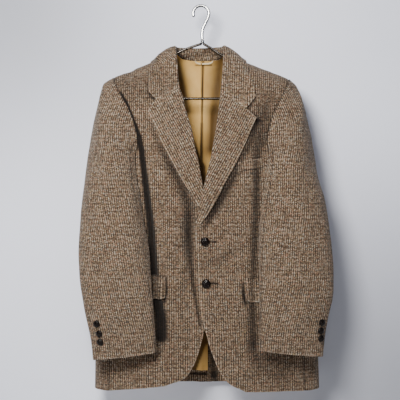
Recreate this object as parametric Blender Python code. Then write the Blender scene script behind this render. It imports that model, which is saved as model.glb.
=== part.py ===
"""A single-breasted tweed hacking jacket with two front buttons, hanging on a bent-wire hanger.

Sizes are in millimetres and become metres when a mesh is made. The origin is the inside top of the
hanger's hook, +Z is up, the jacket faces -Y, and +X is the wearer's left.
The jacket's body is one closed surface, given by an angle round it and a run down from the shoulder
ridge. Each panel is a wall cut from that surface, and what lies on a panel is made from its points,
moved out. Each sleeve is a tube of rings that starts at the armhole.
"""

import math

import bmesh
import bpy
import numpy as np
from mathutils import Matrix, Vector
from mathutils.bvhtree import BVHTree

MM = 0.001
LEFT, RIGHT = 1, -1
SIDE_NAMES = {LEFT: "left", RIGHT: "right"}

# Cloth
TWEED = 1.8
LINING = 0.8
SEAM_GAP = 0.4
LAID_GAP = 0.35
LINING_GAP = 0.9
LINING_INSET = 0.35

# Levels
HEM_Z = -894.0
BACK_NECK_Z = -119.5
ARMPIT_Z = -391.0
BREAK_Z = -519.0
LINING_HEM_Z = -866.0
VENT_TOP_Z = -640.0
CUTAWAY_Z = -749.0

# The body's rings: a blunt ellipse at each height
BODY_POWER = 2.6
RIDGE_REACH_WIDTH = 235.0
BODY_RINGS = np.array(
    [
        # z, centre, half_width, front_depth, back_depth
        (-80, 0, 235, 47, 58),
        (-150, 0, 235, 50, 60),
        (-200, 0, 235, 56, 64),
        (-250, 1, 236, 62, 67),
        (-320, 2, 237, 69, 67),
        (-390, 4, 238, 74, 62),
        (-500, 6, 240, 72, 56),
        (-650, 9, 250, 67, 57),
        (-780, 12, 260, 66, 59),
        (-900, 13, 263.5, 66, 60),
    ],
    float,
)
# The shoulder ridge, seen from the front
RIDGE = np.array(
    [
        # x, z
        (-260, -200),
        (-206, -169.5),
        (-171, -155),
        (-111, -130.5),
        (-66, -107),
        (0, -86),
        (62, -109),
        (101, -131),
        (141, -148),
        (206, -173),
        (260, -203),
    ],
    float,
)
# How far below the ridge the surface takes to reach its full depth
SHOULDER_ROUND = np.array(
    [
        # reach, front, back
        (0.0, 125, 80),
        (0.28, 118, 78),
        (0.5, 98, 72),
        (0.7, 78, 64),
        (0.873, 58, 56),
        (1.0, 50, 50),
    ],
    float,
)

# The armhole, by the angle round the sleeve: 0 front pitch, 90 shoulder tip, 180 back pitch
ARMHOLE = {
    # angle: (reach, z, behind)
    97: (0.861, -178, 1),
    90: (0.874, None, 0),
    83: (0.861, -178.5, 0),
    75: (0.846, -190, 0),
    60: (0.797, -213, 0),
    45: (0.737, -236, 0),
    30: (0.684, -264, 0),
    15: (0.645, -293, 0),
    0: (0.628, -319, 0),
    345: (0.640, -344, 0),
    330: (0.682, -365, 0),
    315: (0.765, -381, 0),
    300: (0.900, -388, 0),
    285: (0.975, -390, 0),
    270: (1.000, ARMPIT_Z, 0),
    255: (0.975, -389, 1),
    240: (0.910, -381, 1),
    225: (0.845, -366, 1),
    210: (0.800, -345, 1),
    195: (0.775, -320, 1),
    180: (0.765, -295, 1),
    165: (0.768, -270, 1),
    150: (0.777, -245, 1),
    135: (0.793, -222, 1),
    120: (0.818, -201, 1),
    105: (0.847, -184, 1),
}
FRONT_SEAM_ANGLE, BACK_SEAM_ANGLE = 315, 225
# The body's half width where the seams' gaps are measured
SEAM_RING_WIDTH = 240.0
SIDE_SEAM_SHARE = 1.6
# The seams between front and side body, and side body and back, below the armhole
SIDE_SEAMS = np.array(
    [
        # z, front_reach, back_reach
        (-381, 0.765, 0.845),
        (-430, 0.79, 0.845),
        (-520, 0.83, 0.85),
        (-650, 0.85, 0.855),
        (-894, 0.86, 0.86),
    ],
    float,
)

# The fronts' inner edges, from the neck point down: neckline, roll line, front edge and cutaway
FRONT_EDGES = {
    LEFT: np.array(
        [
            # z, x
            (-109.5, 62),
            (-140, 57),
            (-173, 55),
            (-209, 51),
            (-222, 48.5),
            (-283, 40.5),
            (-355, 28),
            (-405, 15.7),
            (-446, 6.5),
            (-483, -3),
            (BREAK_Z, -13),
            (-540, -13),
            (-578, -8.5),
            (-647, -5.8),
            (-683, -4),
            (-717, 1),
            (-747, 7.7),
            (-770, 12.7),
            (-795, 21.4),
            (-823, 31.6),
            (-848, 43),
            (-868, 57),
            (-882.5, 77),
            (-893, 101),
        ],
        float,
    ),
    RIGHT: np.array(
        [
            # z, x
            (-107.5, -66),
            (-140, -62.5),
            (-170, -60),
            (-200, -57),
            (-219, -49),
            (-243, -44),
            (-282, -31.5),
            (-324, -23.5),
            (-375, -11.5),
            (-426, -3),
            (-470, 5),
            (BREAK_Z, 13),
            (-560, 19),
            (-600, 21),
            (-690, 19),
            (-720, 14),
            (-749, 7),
            (-765, 4),
            (-788, -3.3),
            (-820, -13.5),
            (-843, -25),
            (-863.5, -42),
            (-874, -61),
            (-879.5, -83),
        ],
        float,
    ),
}
LOWER_ROWS = (-424, -474, -530, -590, -650, -705, -749, -786, -820, -850, -876, HEM_Z)
FRONT_COLUMNS = 11
NECK_COLUMNS, SHOULDER_COLUMNS = 4, 8
CENTRE_BACK_X = 1.0
UNDERLAP_X = 24.0
UNDERLAP_STEP = 4.2
VENT_SLANT = 26.0

# The right front passes under the left one
TUCK_DEPTH = 7.0
TUCK_FROM_X, TUCK_FULL_X = -52.0, -20.0
TUCK_TOP_Z, TUCK_FULL_Z = -365.0, -425.0
TUCK_END_Z, TUCK_GONE_Z = -772.0, -815.0

# Soft folds that the cloth hangs in: a trough (depth below 0) or ridge along each line
FOLDS = np.array(
    [
        # x0, z0, x1, z1, half_width, depth, behind
        (-74, -392, -30, -500, 22, -4.0, 0),
        (-44, -520, -36, -690, 13, -2.6, 0),
        (-72, -560, -66, -760, 22, 2.2, 0),
        (18, -612, 96, -566, 13, -2.6, 0),
        (30, -585, 98, -545, 13, 1.8, 0),
        (128, -462, 126, -585, 12, -1.8, 0),
        (-128, -470, -124, -590, 14, -2.2, 0),
        (60, -700, 84, -860, 20, 2.6, 0),
        (-110, -700, -126, -880, 22, 2.6, 0),
        (-172, -740, -186, -894, 17, -3.0, 0),
        (176, -750, 196, -894, 18, -3.0, 0),
        (104, -310, 118, -420, 18, 2.4, 0),
        (-108, -300, -116, -430, 20, 2.4, 0),
        (-60, -160, -20, -225, 20, -2.2, 1),
        (64, -165, 22, -230, 18, -2.0, 1),
        (-120, -330, -96, -560, 24, 3.4, 1),
        (116, -340, 100, -540, 26, 3.0, 1),
        (-62, -420, -48, -600, 18, -3.0, 1),
        (58, -400, 50, -610, 20, -2.6, 1),
        (-130, -640, -148, -894, 24, 3.2, 1),
        (128, -650, 140, -894, 22, 3.6, 1),
        (-70, -700, -78, -894, 20, -2.6, 1),
        (74, -690, 90, -894, 18, -2.8, 1),
    ],
    float,
)

# Where a lapel's or the collar's fall has its columns, and which one the notch's vertex is on
FALL_PARTS = (0.2, 0.42, 0.66, 0.84, 1.0)
VERTEX_PART = 0.84
# Lapels: the roll line's own edge, the outer edge, and the notch
LAPEL_ROLL = {
    LEFT: np.array(
        [
            # z, x
            (-209, 44.5),
            (-222, 43),
            (-283, 34.8),
            (-355, 22.5),
            (-405, 10.2),
            (-446, 1.4),
            (-483, -7),
            (-508, -13.5),
        ],
        float,
    ),
    RIGHT: np.array(
        [
            # z, x
            (-200, -51),
            (-219, -43.4),
            (-243, -38.6),
            (-282, -26),
            (-324, -18),
            (-375, -6),
            (-426, 2.2),
            (-470, 9),
        ],
        float,
    ),
}
LAPEL_EDGE = {
    LEFT: np.array(
        [
            # x, z
            (125, -265.5),
            (104, -314),
            (79.5, -369),
            (53, -416),
            (33, -456),
            (10, -493),
            (-3, -510),
        ],
        float,
    ),
    RIGHT: np.array(
        [
            # x, z
            (-121.6, -250),
            (-102.7, -291),
            (-88.8, -326),
            (-65, -369),
            (-34.5, -424),
            (-12, -459),
            (-2, -474),
        ],
        float,
    ),
}
NOTCH = {
    # vertex and collar point, each x, z
    LEFT: ((101, -245), (123.5, -219)),
    RIGHT: ((-104, -223.5), (-119.5, -207.5)),
}
LAPEL_ROWS = 14
ROLL_RADIUS = 2.5
FLAT_ROLL_RADIUS = 1.25
LAPEL_LEVEL = 1.9
LAPEL_BOW = 3.0
LAPEL_FALL_FROM = 5

# Collar stations, from the right front end round the back to the left front end
COLLAR_STATIONS = (
    # roll x, y, z; outer edge x, z, behind; neck seam x, z (at the back: on the neckline), behind
    ((-51.0, -59.0, -199), (-119.5, -207.5, 0), (-53.8, -201, 0)),
    ((-54.5, -49.5, -166), (-120.5, -180, 0), (-58.2, -168, 0)),
    ((-57.5, -35.5, -131), (-118.5, -153, 0), (-61.0, -135, 0)),
    ((-60.5, -8.0, -98), (-111.5, -131, 0), (-63.4, -107, 0)),
    ((-56.5, 24.0, -92.5), (-86, -141, 1), (-57.0, None, 1)),
    ((-33.0, 47.0, -90), (-42, -144, 1), (-32.0, None, 1)),
    ((-2.0, 54.0, -89), (0, -143, 1), (-0.1, None, 1)),
    ((28.0, 46.5, -89.5), (40, -144, 1), (32.0, None, 1)),
    ((47.5, 23.0, -91.5), (80, -142, 1), (54.0, None, 1)),
    ((51.5, -8.0, -96), (100, -131, 0), (59.4, -109, 0)),
    ((50.5, -36.0, -132), (110, -160, 0), (55.3, -137, 0)),
    ((48.0, -50.5, -171), (118, -188, 0), (53.0, -172, 0)),
    ((44.5, -61.0, -208), (123.5, -219, 0), (47.6, -210, 0)),
)
COLLAR_STEPS = 2
STAND_GAP = 1.1
COLLAR_ROLL_RADIUS = 2.6
COLLAR_BOW = 3.5
COLLAR_LEVEL = 2.6
COLLAR_FALL_FROM = 6

# Sleeves: rings of the hanging tube, by height. The twist turns the seams round as the sleeve hangs
SLEEVE_RINGS = {
    LEFT: np.array(
        [
            # z, centre_x, half_width, centre_y, half_depth, twist
            (-165, 199, 14, 0, 46, 80),
            (-188, 200, 21, 0, 49, 79),
            (-206, 202, 27, -2, 51, 77),
            (-232, 202, 35, -6, 55, 75),
            (-263, 201, 44, -11, 60, 72),
            (-296, 200, 51, -16, 63, 69),
            (-336, 199, 60, -24, 63, 60),
            (-372, 199.5, 62, -32, 62, 53),
            (-464, 208, 74, -57, 50, 36),
            (-511, 210, 77.5, -69, 44, 28),
            (-558, 212, 80, -79, 38, 22),
            (-611, 213.5, 82, -87, 33, 18),
            (-660, 213.5, 82, -92, 28, 15),
            (-716, 207.4, 75.6, -94, 23, 13),
            (-756, 204, 72, -93, 19, 11),
            (-820, 202, 68, -91, 15, 10),
        ],
        float,
    ),
    RIGHT: np.array(
        [
            # z, centre_x, half_width, centre_y, half_depth, twist
            (-165, 204, 21, 0, 46, 80),
            (-190, 204, 27, 0, 49, 79),
            (-213, 204, 33, -3, 52, 77),
            (-250, 203, 42, -8, 58, 74),
            (-284, 201, 51, -14, 63, 70),
            (-320, 200, 57, -21, 64, 64),
            (-363, 199, 63, -30, 63, 55),
            (-469, 200.3, 72.8, -58, 50, 35),
            (-537, 198.5, 76.5, -75, 40, 25),
            (-590, 196.4, 79, -86, 34, 20),
            (-655, 190.5, 78.5, -92, 28, 16),
            (-720, 183, 75, -94, 22, 13),
            (-773, 175, 71.5, -92, 17, 11),
            (-830, 172.5, 69.5, -90, 14, 10),
        ],
        float,
    ),
}
SLEEVE_HEAD_DROPS = (0, 3, 8, 16, 29, 46)
SLEEVE_LOWER_ROWS = 11
CUFF_Z = {LEFT: (-793.0, -806.0), RIGHT: (-797.0, -814.0)}
SLEEVE_LIFT, SLEEVE_UNDER_LIFT = 0.6, 2.0
SLEEVE_CLEARANCE_TOP, SLEEVE_CLEARANCE_LOW = 4.0, 7.5
SLEEVE_CHORD_CLEARANCE = 2.0
SLEEVE_FREE_Z = -285.0
SLEEVE_FOLDS = {
    # x0, z0, x1, z1, half_width, depth on the sleeve's front
    LEFT: np.array(
        [
            (252, -330, 232, -470, 13, -2.6),
            (178, -430, 214, -520, 12, -3.0),
            (262, -520, 226, -590, 13, -2.6),
            (160, -560, 200, -640, 14, 2.4),
            (246, -640, 200, -690, 13, -2.4),
            (210, -680, 214, -790, 16, 1.8),
        ],
        float,
    ),
    RIGHT: np.array(
        [
            (-244, -330, -226, -460, 13, -2.6),
            (-168, -420, -206, -505, 12, -3.0),
            (-254, -500, -214, -570, 13, -2.6),
            (-150, -560, -190, -630, 14, 2.4),
            (-226, -620, -180, -680, 13, -2.6),
            (-176, -690, -172, -800, 16, 1.8),
        ],
        float,
    ),
}

# Pockets
FLAP_WALL = 1.8
FLAP_LIFT = 2.0
FLAP_CORNER = 13.0
FLAPS = {
    # front end x, outer end x, top z at the front end, rise to the outer end, depth
    LEFT: (102.5, 221.0, -634.0, 6.0, 55.0),
    RIGHT: (-82.5, -200.0, -627.6, 6.0, 54.0),
}
WELT_FROM_X, WELT_TO_X = 84.0, 141.0
WELT_TOP_Z, WELT_RISE, WELT_DEPTH = -370.0, 11.0, 21.5

# Buttons: domed, on a flat back
FRONT_BUTTONS = ((7.9, -549.6), (10.4, -645.4))
FRONT_BUTTON_DIAMETER, FRONT_BUTTON_HEIGHT = 21.0, 8.0
CUFF_BUTTONS = {
    LEFT: ((267.0, -727.5), (265.0, -746.0), (265.6, -764.0)),
    RIGHT: ((-232.6, -730.5), (-227.4, -752.5), (-225.6, -771.5)),
}
CUFF_BUTTON_DIAMETER, CUFF_BUTTON_HEIGHT = 16.0, 6.5
BUTTON_SIDES = 14
BUTTON_PROFILE = ((0.0, 1.0), (0.52, 0.88), (0.86, 0.52), (1.0, 0.18), (0.94, 0.0))

# Hanging loop: a tape across the back neck
LOOP_FROM_X, LOOP_TO_X = -16.0, 29.0
LOOP_Z, LOOP_SAG, LOOP_WIDTH, LOOP_WALL = -121.5, 6.0, 3.4, 1.2

# Hanger
HOOK_WIRE, FRAME_WIRE = 5.5, 4.5
HOOK_RADIUS = 18.5
HOOK_CENTRE_X = -1.0
HOOK_TIP_ANGLE = 200.0
HOOK_STEM = ((15.6, -25), (9, -39), (2.6, -54), (1.2, -68), (2.0, -77.5))
FERRULE_TOP_Z, FERRULE_HEIGHT, FERRULE_DIAMETER = -78.0, 7.4, 8.4
APEX_X = 2.2
ARM_VISIBLE = {
    # from the ferrule to where the arm goes under the shoulder
    LEFT: ((5.2, -87.6), (25, -99.5), (47.4, -114)),
    RIGHT: ((-0.8, -87.6), (-25, -95.6), (-50, -105.6)),
}
# Square to the sloping ridge, measured straight down
ARM_BELOW_RIDGE = 1.32 * (TWEED + LINING_GAP + LINING + LAID_GAP + FRAME_WIRE / 2)
ARM_UNDER_FROM, ARM_UNDER_TO, ARM_UNDER_STEPS = 68.0, 172.0, 7
BAR_Z = -216.0
FRAME_CORNER_STEPS = 6


# ---------------------------------------------------------------------------------------------
# Curves and tables


def eased(amount):
    """0 to 1 with a soft start and end."""
    amount = np.clip(amount, 0, 1)
    return amount * amount * (3 - 2 * amount)


def smooth_table(table, at, column):
    """A table's column at these values of its first column, on a smooth curve through its rows."""
    order = np.argsort(table[:, 0])
    keys, values = table[order, 0], table[order, column]
    slopes = np.gradient(values, keys)
    at = np.clip(at, keys[0], keys[-1])
    index = np.clip(np.searchsorted(keys, at) - 1, 0, len(keys) - 2)
    step = keys[index + 1] - keys[index]
    part = (at - keys[index]) / step
    square, cube = part**2, part**3
    return (
        (2 * cube - 3 * square + 1) * values[index]
        + (cube - 2 * square + part) * step * slopes[index]
        + (3 * square - 2 * cube) * values[index + 1]
        + (cube - square) * step * slopes[index + 1]
    )


def along(points, counts):
    """Points on a smooth curve through these, at this many even steps or at given parts of it."""
    points = np.asarray(points, float)
    parts = np.linspace(0, 1, counts) if np.isscalar(counts) else np.asarray(counts)
    lengths = np.concatenate([[0], np.cumsum(np.linalg.norm(np.diff(points, axis=0), axis=1))])
    table = np.column_stack([lengths / lengths[-1], points])
    return np.stack([smooth_table(table, parts, axis + 1) for axis in range(points.shape[1])], -1)


def unit(vectors):
    return vectors / np.maximum(np.linalg.norm(vectors, axis=-1, keepdims=True), 1e-9)


# ---------------------------------------------------------------------------------------------
# The body's surface


def reach_to_angle(reach, behind):
    """The angle round the body, 0 at centre front and 180 at centre back, + on the wearer's left."""
    part = np.arcsin(np.clip(np.abs(reach), 0, 1) ** (BODY_POWER / 2))
    part = np.where(behind, math.pi - part, part)
    return np.where(np.asarray(reach) < 0, -part, part)


def angle_to_reach(angle):
    return np.sign(np.sin(angle)) * np.abs(np.sin(angle)) ** (2 / BODY_POWER)


def ring_sizes(z):
    return (smooth_table(BODY_RINGS, z, column) for column in (1, 2, 3, 4))


def shoulder(angle):
    """The ridge's height above this angle, and how far below it the surface is fully deep."""
    reach = angle_to_reach(angle)
    ridge = smooth_table(RIDGE, RIDGE_REACH_WIDTH * reach, 1)
    column = np.where(np.cos(angle) > 0, 1, 2)
    front = smooth_table(SHOULDER_ROUND, np.abs(reach), 1)
    back = smooth_table(SHOULDER_ROUND, np.abs(reach), 2)
    return ridge, np.where(column == 1, front, back)


def run_at(angle, z):
    """The run down from the ridge at which the surface reaches this height."""
    ridge, rounding = shoulder(angle)
    drop = np.maximum(ridge - z, 0)
    turn = np.arccos(np.clip(1 - drop / rounding, 0, 1))
    return np.where(drop < rounding, rounding * turn, rounding * math.pi / 2 + drop - rounding)


def plain_body(angle, run):
    """The body's surface without its folds."""
    ridge, rounding = shoulder(angle)
    turn = np.clip(run / rounding, 0, math.pi / 2)
    z = ridge - rounding * (1 - np.cos(turn)) - np.maximum(run - rounding * math.pi / 2, 0)
    centre, half_width, front, back = ring_sizes(z)
    depth = np.where(np.cos(angle) > 0, front, back)
    outward = -np.sign(np.cos(angle)) * np.abs(np.cos(angle)) ** (2 / BODY_POWER)
    x = centre + half_width * angle_to_reach(angle)
    return np.stack([x, depth * outward * np.sin(turn), z], -1)


def normals_of(surface, angle, run):
    """A surface's outward normals, from its points a little to each side."""
    step_angle, step_run = 2e-3, 0.4
    across = surface(angle + step_angle, run) - surface(angle - step_angle, run)
    down = surface(angle, run + step_run) - surface(angle, run - step_run)
    return unit(np.cross(down, across))


def line_strength(folds, x, z):
    """The sum of soft troughs and ridges along straight lines."""
    total = np.zeros_like(x)
    for x0, z0, x1, z1, half_width, depth in folds:
        run_x, run_z = x1 - x0, z1 - z0
        part = ((x - x0) * run_x + (z - z0) * run_z) / (run_x**2 + run_z**2)
        held = np.clip(part, 0, 1)
        away = np.hypot(x - x0 - held * run_x, z - z0 - held * run_z)
        total = total + depth * np.exp(-((away / half_width) ** 2))
    return total


def tuck(x, z):
    """How far the right front is pressed in where the left one lies over it."""
    across = eased((x - TUCK_FROM_X) / (TUCK_FULL_X - TUCK_FROM_X))
    starts = eased((TUCK_TOP_Z - z) / (TUCK_TOP_Z - TUCK_FULL_Z))
    ends = 1 - eased((TUCK_END_Z - z) / (TUCK_END_Z - TUCK_GONE_Z))
    return TUCK_DEPTH * across * starts * ends


def underlap(x, z):
    """How far the right back's underlap lies inside the left back."""
    across = eased((x + 16) / 14)
    return UNDERLAP_STEP * across * eased((VENT_TOP_Z + 82 - z) / 25)


def body_surface(extra=None):
    """The body's surface with its folds, and pressed in by a function of x and z where given."""

    def surface(angle, run):
        points = plain_body(angle, run)
        behind = np.cos(angle) < 0
        x, z = points[..., 0], points[..., 2]
        near_side = np.abs(np.cos(angle)) ** 0.5
        shift = np.zeros_like(x)
        for side_behind in (0, 1):
            lines = FOLDS[FOLDS[:, 6] == side_behind][:, :6]
            shift += np.where(behind == bool(side_behind), line_strength(lines, x, z), 0)
        shift *= near_side
        if extra is not None:
            shift = shift - extra(x, z)
        return points + normals_of(plain_body, angle, run) * shift[..., None]

    return surface


SURFACES = {
    "plain": body_surface(),
    "front_left": body_surface(),
    "front_right": body_surface(tuck),
    "back_left": body_surface(),
    "back_right": body_surface(underlap),
}


def place(surface, x, z, behind=False, level=0.0):
    """Points and normals of a surface where a view from the front shows x and z."""
    x, z = np.broadcast_arrays(np.asarray(x, float), np.asarray(z, float))
    centre, half_width, _, _ = ring_sizes(z)
    angle = reach_to_angle((x - centre) / half_width, behind)
    run = run_at(angle, z)
    normals = normals_of(surface, angle, run)
    return surface(angle, run) + normals * np.asarray(level)[..., None], normals


# ---------------------------------------------------------------------------------------------
# Walls


def grid_faces(rows, columns, start, flip):
    """The triangles of a grid of points, which start at this index, all cut the same way."""
    faces = []
    for row in range(rows - 1):
        for column in range(columns - 1):
            first = start + row * columns + column
            across = first + columns + 1
            for face in ((first, first + columns, across), (first, across, first + 1)):
                faces.append(face[::-1] if flip else face)
    return faces


def rim_faces(rows, columns):
    """The quads that join a wall's outer and inner grids along their rims."""
    rim = [column for column in range(columns)]
    rim += [row * columns + columns - 1 for row in range(1, rows)]
    rim += [(rows - 1) * columns + column for column in range(columns - 2, -1, -1)]
    rim += [row * columns for row in range(rows - 2, 0, -1)]
    count = rows * columns
    pairs = zip(rim, rim[1:] + rim[:1])
    return [(a, b, b + count, a + count) for a, b in pairs]


def make_object(name, points, faces, material):
    """A closed mesh object, its faces pointing out."""
    mesh = bpy.data.meshes.new(name)
    mesh.from_pydata([tuple(point) for point in np.asarray(points) * MM], [], faces)
    shape = bmesh.new()
    shape.from_mesh(mesh)
    if shape.calc_volume(signed=True) < 0:
        bmesh.ops.reverse_faces(shape, faces=shape.faces)
    shape.to_mesh(mesh)
    shape.free()
    mesh.materials.append(material)
    mesh.shade_smooth()
    mesh.set_sharp_from_angle(angle=math.radians(50))
    obj = bpy.data.objects.new(name, mesh)
    bpy.context.scene.collection.objects.link(obj)
    return obj


def make_wall(name, outer, inner, material):
    """A wall between two grids of points that lie one over the other."""
    rows, columns = outer.shape[:2]
    count = rows * columns
    points = np.concatenate([outer.reshape(-1, 3), inner.reshape(-1, 3)])
    faces = grid_faces(rows, columns, 0, False)
    faces += grid_faces(rows, columns, count, True)
    faces += rim_faces(rows, columns)
    return make_object(name, points, faces, material)


def grid_normals(grid, around=False):
    """Normals of a grid of points, from its neighbours, wrapping round its columns for a tube."""
    if around:
        across = np.roll(grid, -1, 1) - np.roll(grid, 1, 1)
    else:
        across = np.gradient(grid, axis=1)
    return unit(np.cross(np.gradient(grid, axis=0), across))


# ---------------------------------------------------------------------------------------------
# Body panels


def armhole(side, angle_key):
    """The armhole's point at a key angle, as an angle round the body and a height."""
    reach, z, behind = ARMHOLE[angle_key % 360]
    angle = float(reach_to_angle(side * reach, behind))
    if z is None:
        z = float(shoulder(np.array(angle))[0])
    return angle, z


def side_seam(side, z, behind):
    reach = float(smooth_table(SIDE_SEAMS, np.array(float(z)), 2 if behind else 1))
    return float(reach_to_angle(side * reach, behind))


def outline_rows(side, behind):
    """The angle and height of each row's outer end, down the armhole and then the side seam."""
    if behind:
        keys = sorted(key for key in ARMHOLE if 90 <= key <= BACK_SEAM_ANGLE)
    else:
        keys = [key for key in ARMHOLE if key <= 90 or key >= FRONT_SEAM_ANGLE]
        keys.sort(key=lambda key: (90 - key) % 360)
    rows = [armhole(side, key) for key in keys]
    return rows + [(side_seam(side, z, behind), z) for z in LOWER_ROWS]


def shifted(angle, gap, side, behind):
    """An angle moved a short way towards centre front or centre back."""
    reach = abs(float(angle_to_reach(np.array(angle)))) - gap / SEAM_RING_WIDTH
    return float(reach_to_angle(side * reach, behind))


def panel_wall(name, surface, angle, z, material, level=0.0, wall=TWEED):
    """A wall of cloth over a grid of angles and heights."""
    run = np.maximum(run_at(angle, z), SEAM_GAP)
    normals = normals_of(surface, angle, run)
    outer = surface(angle, run) + normals * level
    make_wall(name, outer, outer - normals * wall, material)
    return outer, normals


def lerp(start, end, part):
    return start + (end - start) * part


def reach_grid(inner, outer, parts, behind):
    """Angles between each row's two ends, evenly in reach."""
    first = np.array([angle_to_reach(np.array(angle)) for angle in inner])[:, None]
    last = np.array([angle_to_reach(np.array(angle)) for angle in outer])[:, None]
    return reach_to_angle(lerp(first, last, parts[None, :]), behind)


def front_panel(side, material):
    """A front, from its edge and roll line to the armhole and the side seam."""
    outer_ends = outline_rows(side, False)
    heights = np.array([z for _, z in outer_ends])
    table = FRONT_EDGES[side]
    top, bottom = table[0, 0], table[-1, 0]
    edge_z = np.where(
        heights > BREAK_Z,
        lerp(top, BREAK_Z, (heights - heights[0]) / (BREAK_Z - heights[0])),
        heights,
    )
    lower = (heights - CUTAWAY_Z) / (HEM_Z - CUTAWAY_Z)
    edge_z = np.where(heights < CUTAWAY_Z, lerp(CUTAWAY_Z, bottom, lower), edge_z)
    edge_x = smooth_table(table, edge_z, 1)
    centre, half_width, _, _ = ring_sizes(edge_z)
    inner_angles = reach_to_angle((edge_x - centre) / half_width, False)
    outer_angles = [shifted(angle, SEAM_GAP / 2, side, False) for angle, _ in outer_ends]
    parts = np.linspace(0, 1, FRONT_COLUMNS)
    angle = reach_grid(inner_angles, outer_angles, parts, False)
    z = lerp(edge_z[:, None], heights[:, None], parts[None, :])
    z[0] = shoulder(angle[0])[0]
    name = "front_" + SIDE_NAMES[side]
    return panel_wall(name, SURFACES[name], angle, z, material)


def side_panel(side, material):
    """A side body, from the armpit to the hem between the front's and the back's seams."""
    keys = [key for key in ARMHOLE if BACK_SEAM_ANGLE <= key <= FRONT_SEAM_ANGLE]
    tops = np.array([armhole(side, key) for key in sorted(keys, reverse=True)])
    columns = len(tops)
    own_parts = (tops[:, 0] - tops[0, 0]) / (tops[-1, 0] - tops[0, 0])
    rows, heights = [tops[:, 0]], [tops[:, 1]]
    for index, z in enumerate(LOWER_ROWS, 1):
        parts = lerp(np.linspace(0, 1, columns), own_parts, max(0.0, 1 - index / 4))
        first, last = side_seam(side, z, False), side_seam(side, z, True)
        rows.append(lerp(first, last, parts))
        heights.append(np.full(columns, z))
    angle, z = np.array(rows), np.array(heights)
    nudge = SIDE_SEAM_SHARE * SEAM_GAP / 2 / SEAM_RING_WIDTH
    angle[:, 0] += side * nudge
    angle[:, -1] -= side * nudge
    return panel_wall("side_" + SIDE_NAMES[side], SURFACES["plain"], angle, z, material)


def back_neck_z(side, x):
    """The height of the back neckline at this x."""
    neck_z, neck_x = FRONT_EDGES[side][0]
    part = np.clip(np.abs(x) / abs(neck_x), 0, 1)
    return lerp(BACK_NECK_Z, neck_z, part**3.2)


def back_grid(side, centre_x):
    """The angles and heights of a back panel and its lining."""
    outer_ends = outline_rows(side, True)
    heights = np.array([z for _, z in outer_ends])
    rows = len(heights)
    top_centre = BACK_NECK_Z
    armhole_rows = rows - len(LOWER_ROWS)
    armpit_z = heights[armhole_rows]
    centre_z = np.where(
        heights > armpit_z,
        lerp(top_centre, armpit_z, (heights - heights[0]) / (armpit_z - heights[0])),
        heights,
    )
    centre, half_width, _, _ = ring_sizes(centre_z)
    inner_angles = reach_to_angle((centre_x(centre_z) - centre) / half_width, True)
    outer_angles = [shifted(angle, SEAM_GAP / 2, side, True) for angle, _ in outer_ends]
    neck_x = FRONT_EDGES[side][0][1]
    neck_part = abs(neck_x) / RIDGE_REACH_WIDTH / ARMHOLE[90][0]
    neck_parts = np.linspace(0, neck_part, NECK_COLUMNS + 1)
    parts = np.concatenate([neck_parts, np.linspace(neck_part, 1, SHOULDER_COLUMNS)[1:]])
    angle = reach_grid(inner_angles, outer_angles, parts, True)
    z = lerp(centre_z[:, None], heights[:, None], parts[None, :])
    top_x = RIDGE_REACH_WIDTH * angle_to_reach(angle[0])
    top = np.where(
        np.abs(top_x) < abs(neck_x) - 0.01,
        back_neck_z(side, top_x),
        shoulder(angle[0])[0],
    )
    fade = np.clip(1 - np.arange(rows) / 7, 0, 1)[:, None] ** 2
    return angle, z + fade * (top - z[0])[None, :]


def centre_back_line(side):
    """The centre back edge's x by height. The right back has the vent's underlap."""

    def line(z):
        seam = np.full_like(z, CENTRE_BACK_X + side * SEAM_GAP / 2)
        if side == LEFT:
            return seam
        return lerp(seam, UNDERLAP_X, np.clip((VENT_TOP_Z - z) / VENT_SLANT, 0, 1))

    return line


def back_panel(side, material):
    angle, z = back_grid(side, centre_back_line(side))
    name = "back_" + SIDE_NAMES[side]
    return panel_wall(name, SURFACES[name], angle, z, material)


def lining_centre_line(side):
    """The lining's centre edge, kept back from the vent's facing."""

    def line(z):
        seam = np.full_like(z, CENTRE_BACK_X + side * SEAM_GAP / 2)
        vent_x = UNDERLAP_X - 9 if side == RIGHT else UNDERLAP_X + 17
        return lerp(seam, vent_x, np.clip((VENT_TOP_Z + 14 - z) / VENT_SLANT, 0, 1))

    return line


def lining_panel(side, material):
    """The back's lining, inside the back, from the neck seam to the turned-up hem."""
    angle, z = back_grid(side, lining_centre_line(side))
    angle[:, -1] = lerp(angle[:, -1], angle[:, -2], LINING_INSET)
    z[:, -1] = lerp(z[:, -1], z[:, -2], LINING_INSET)
    rows = [row for row in range(len(z)) if z[row].max() > LINING_HEM_Z] + [len(z) - 1]
    z = np.maximum(z, LINING_HEM_Z)
    surface = SURFACES["back_" + SIDE_NAMES[side]]
    level = -(TWEED + LINING_GAP)
    name = "lining_back_" + SIDE_NAMES[side]
    return panel_wall(name, surface, angle[rows], z[rows], material, level, LINING)


# ---------------------------------------------------------------------------------------------
# Lapels and collar


def rolled_section(roll, edge, outward, tangent, radius, bow, start=None):
    """A section that turns over a roll and lies down to an outer edge.

    It starts at a neck seam where one is given, or just behind the roll.
    """
    outward = unit(outward - tangent * np.dot(outward, tangent))
    away = roll - edge
    crown = unit(away - tangent * np.dot(away, tangent) - outward * np.dot(away, outward))
    centre = roll - crown * radius
    turn = [
        centre
        + radius * (crown * math.sin(math.radians(a)) - outward * math.cos(math.radians(a)))
        for a in (0, 40, 90, 140, 180)
    ]
    first = centre - outward * radius - crown * 0.9 if start is None else start
    lead = [first] if start is None else [first, lerp(first, turn[0], 0.5)]
    fall_start = turn[-1]
    length = np.linalg.norm(edge - fall_start)
    bend = fall_start - crown * 0.45 * length + outward * bow
    fall = []
    for part in FALL_PARTS:
        rest = 1 - part
        fall.append(rest * rest * fall_start + 2 * rest * part * bend + part * part * edge)
    return lead + turn + fall


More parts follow.
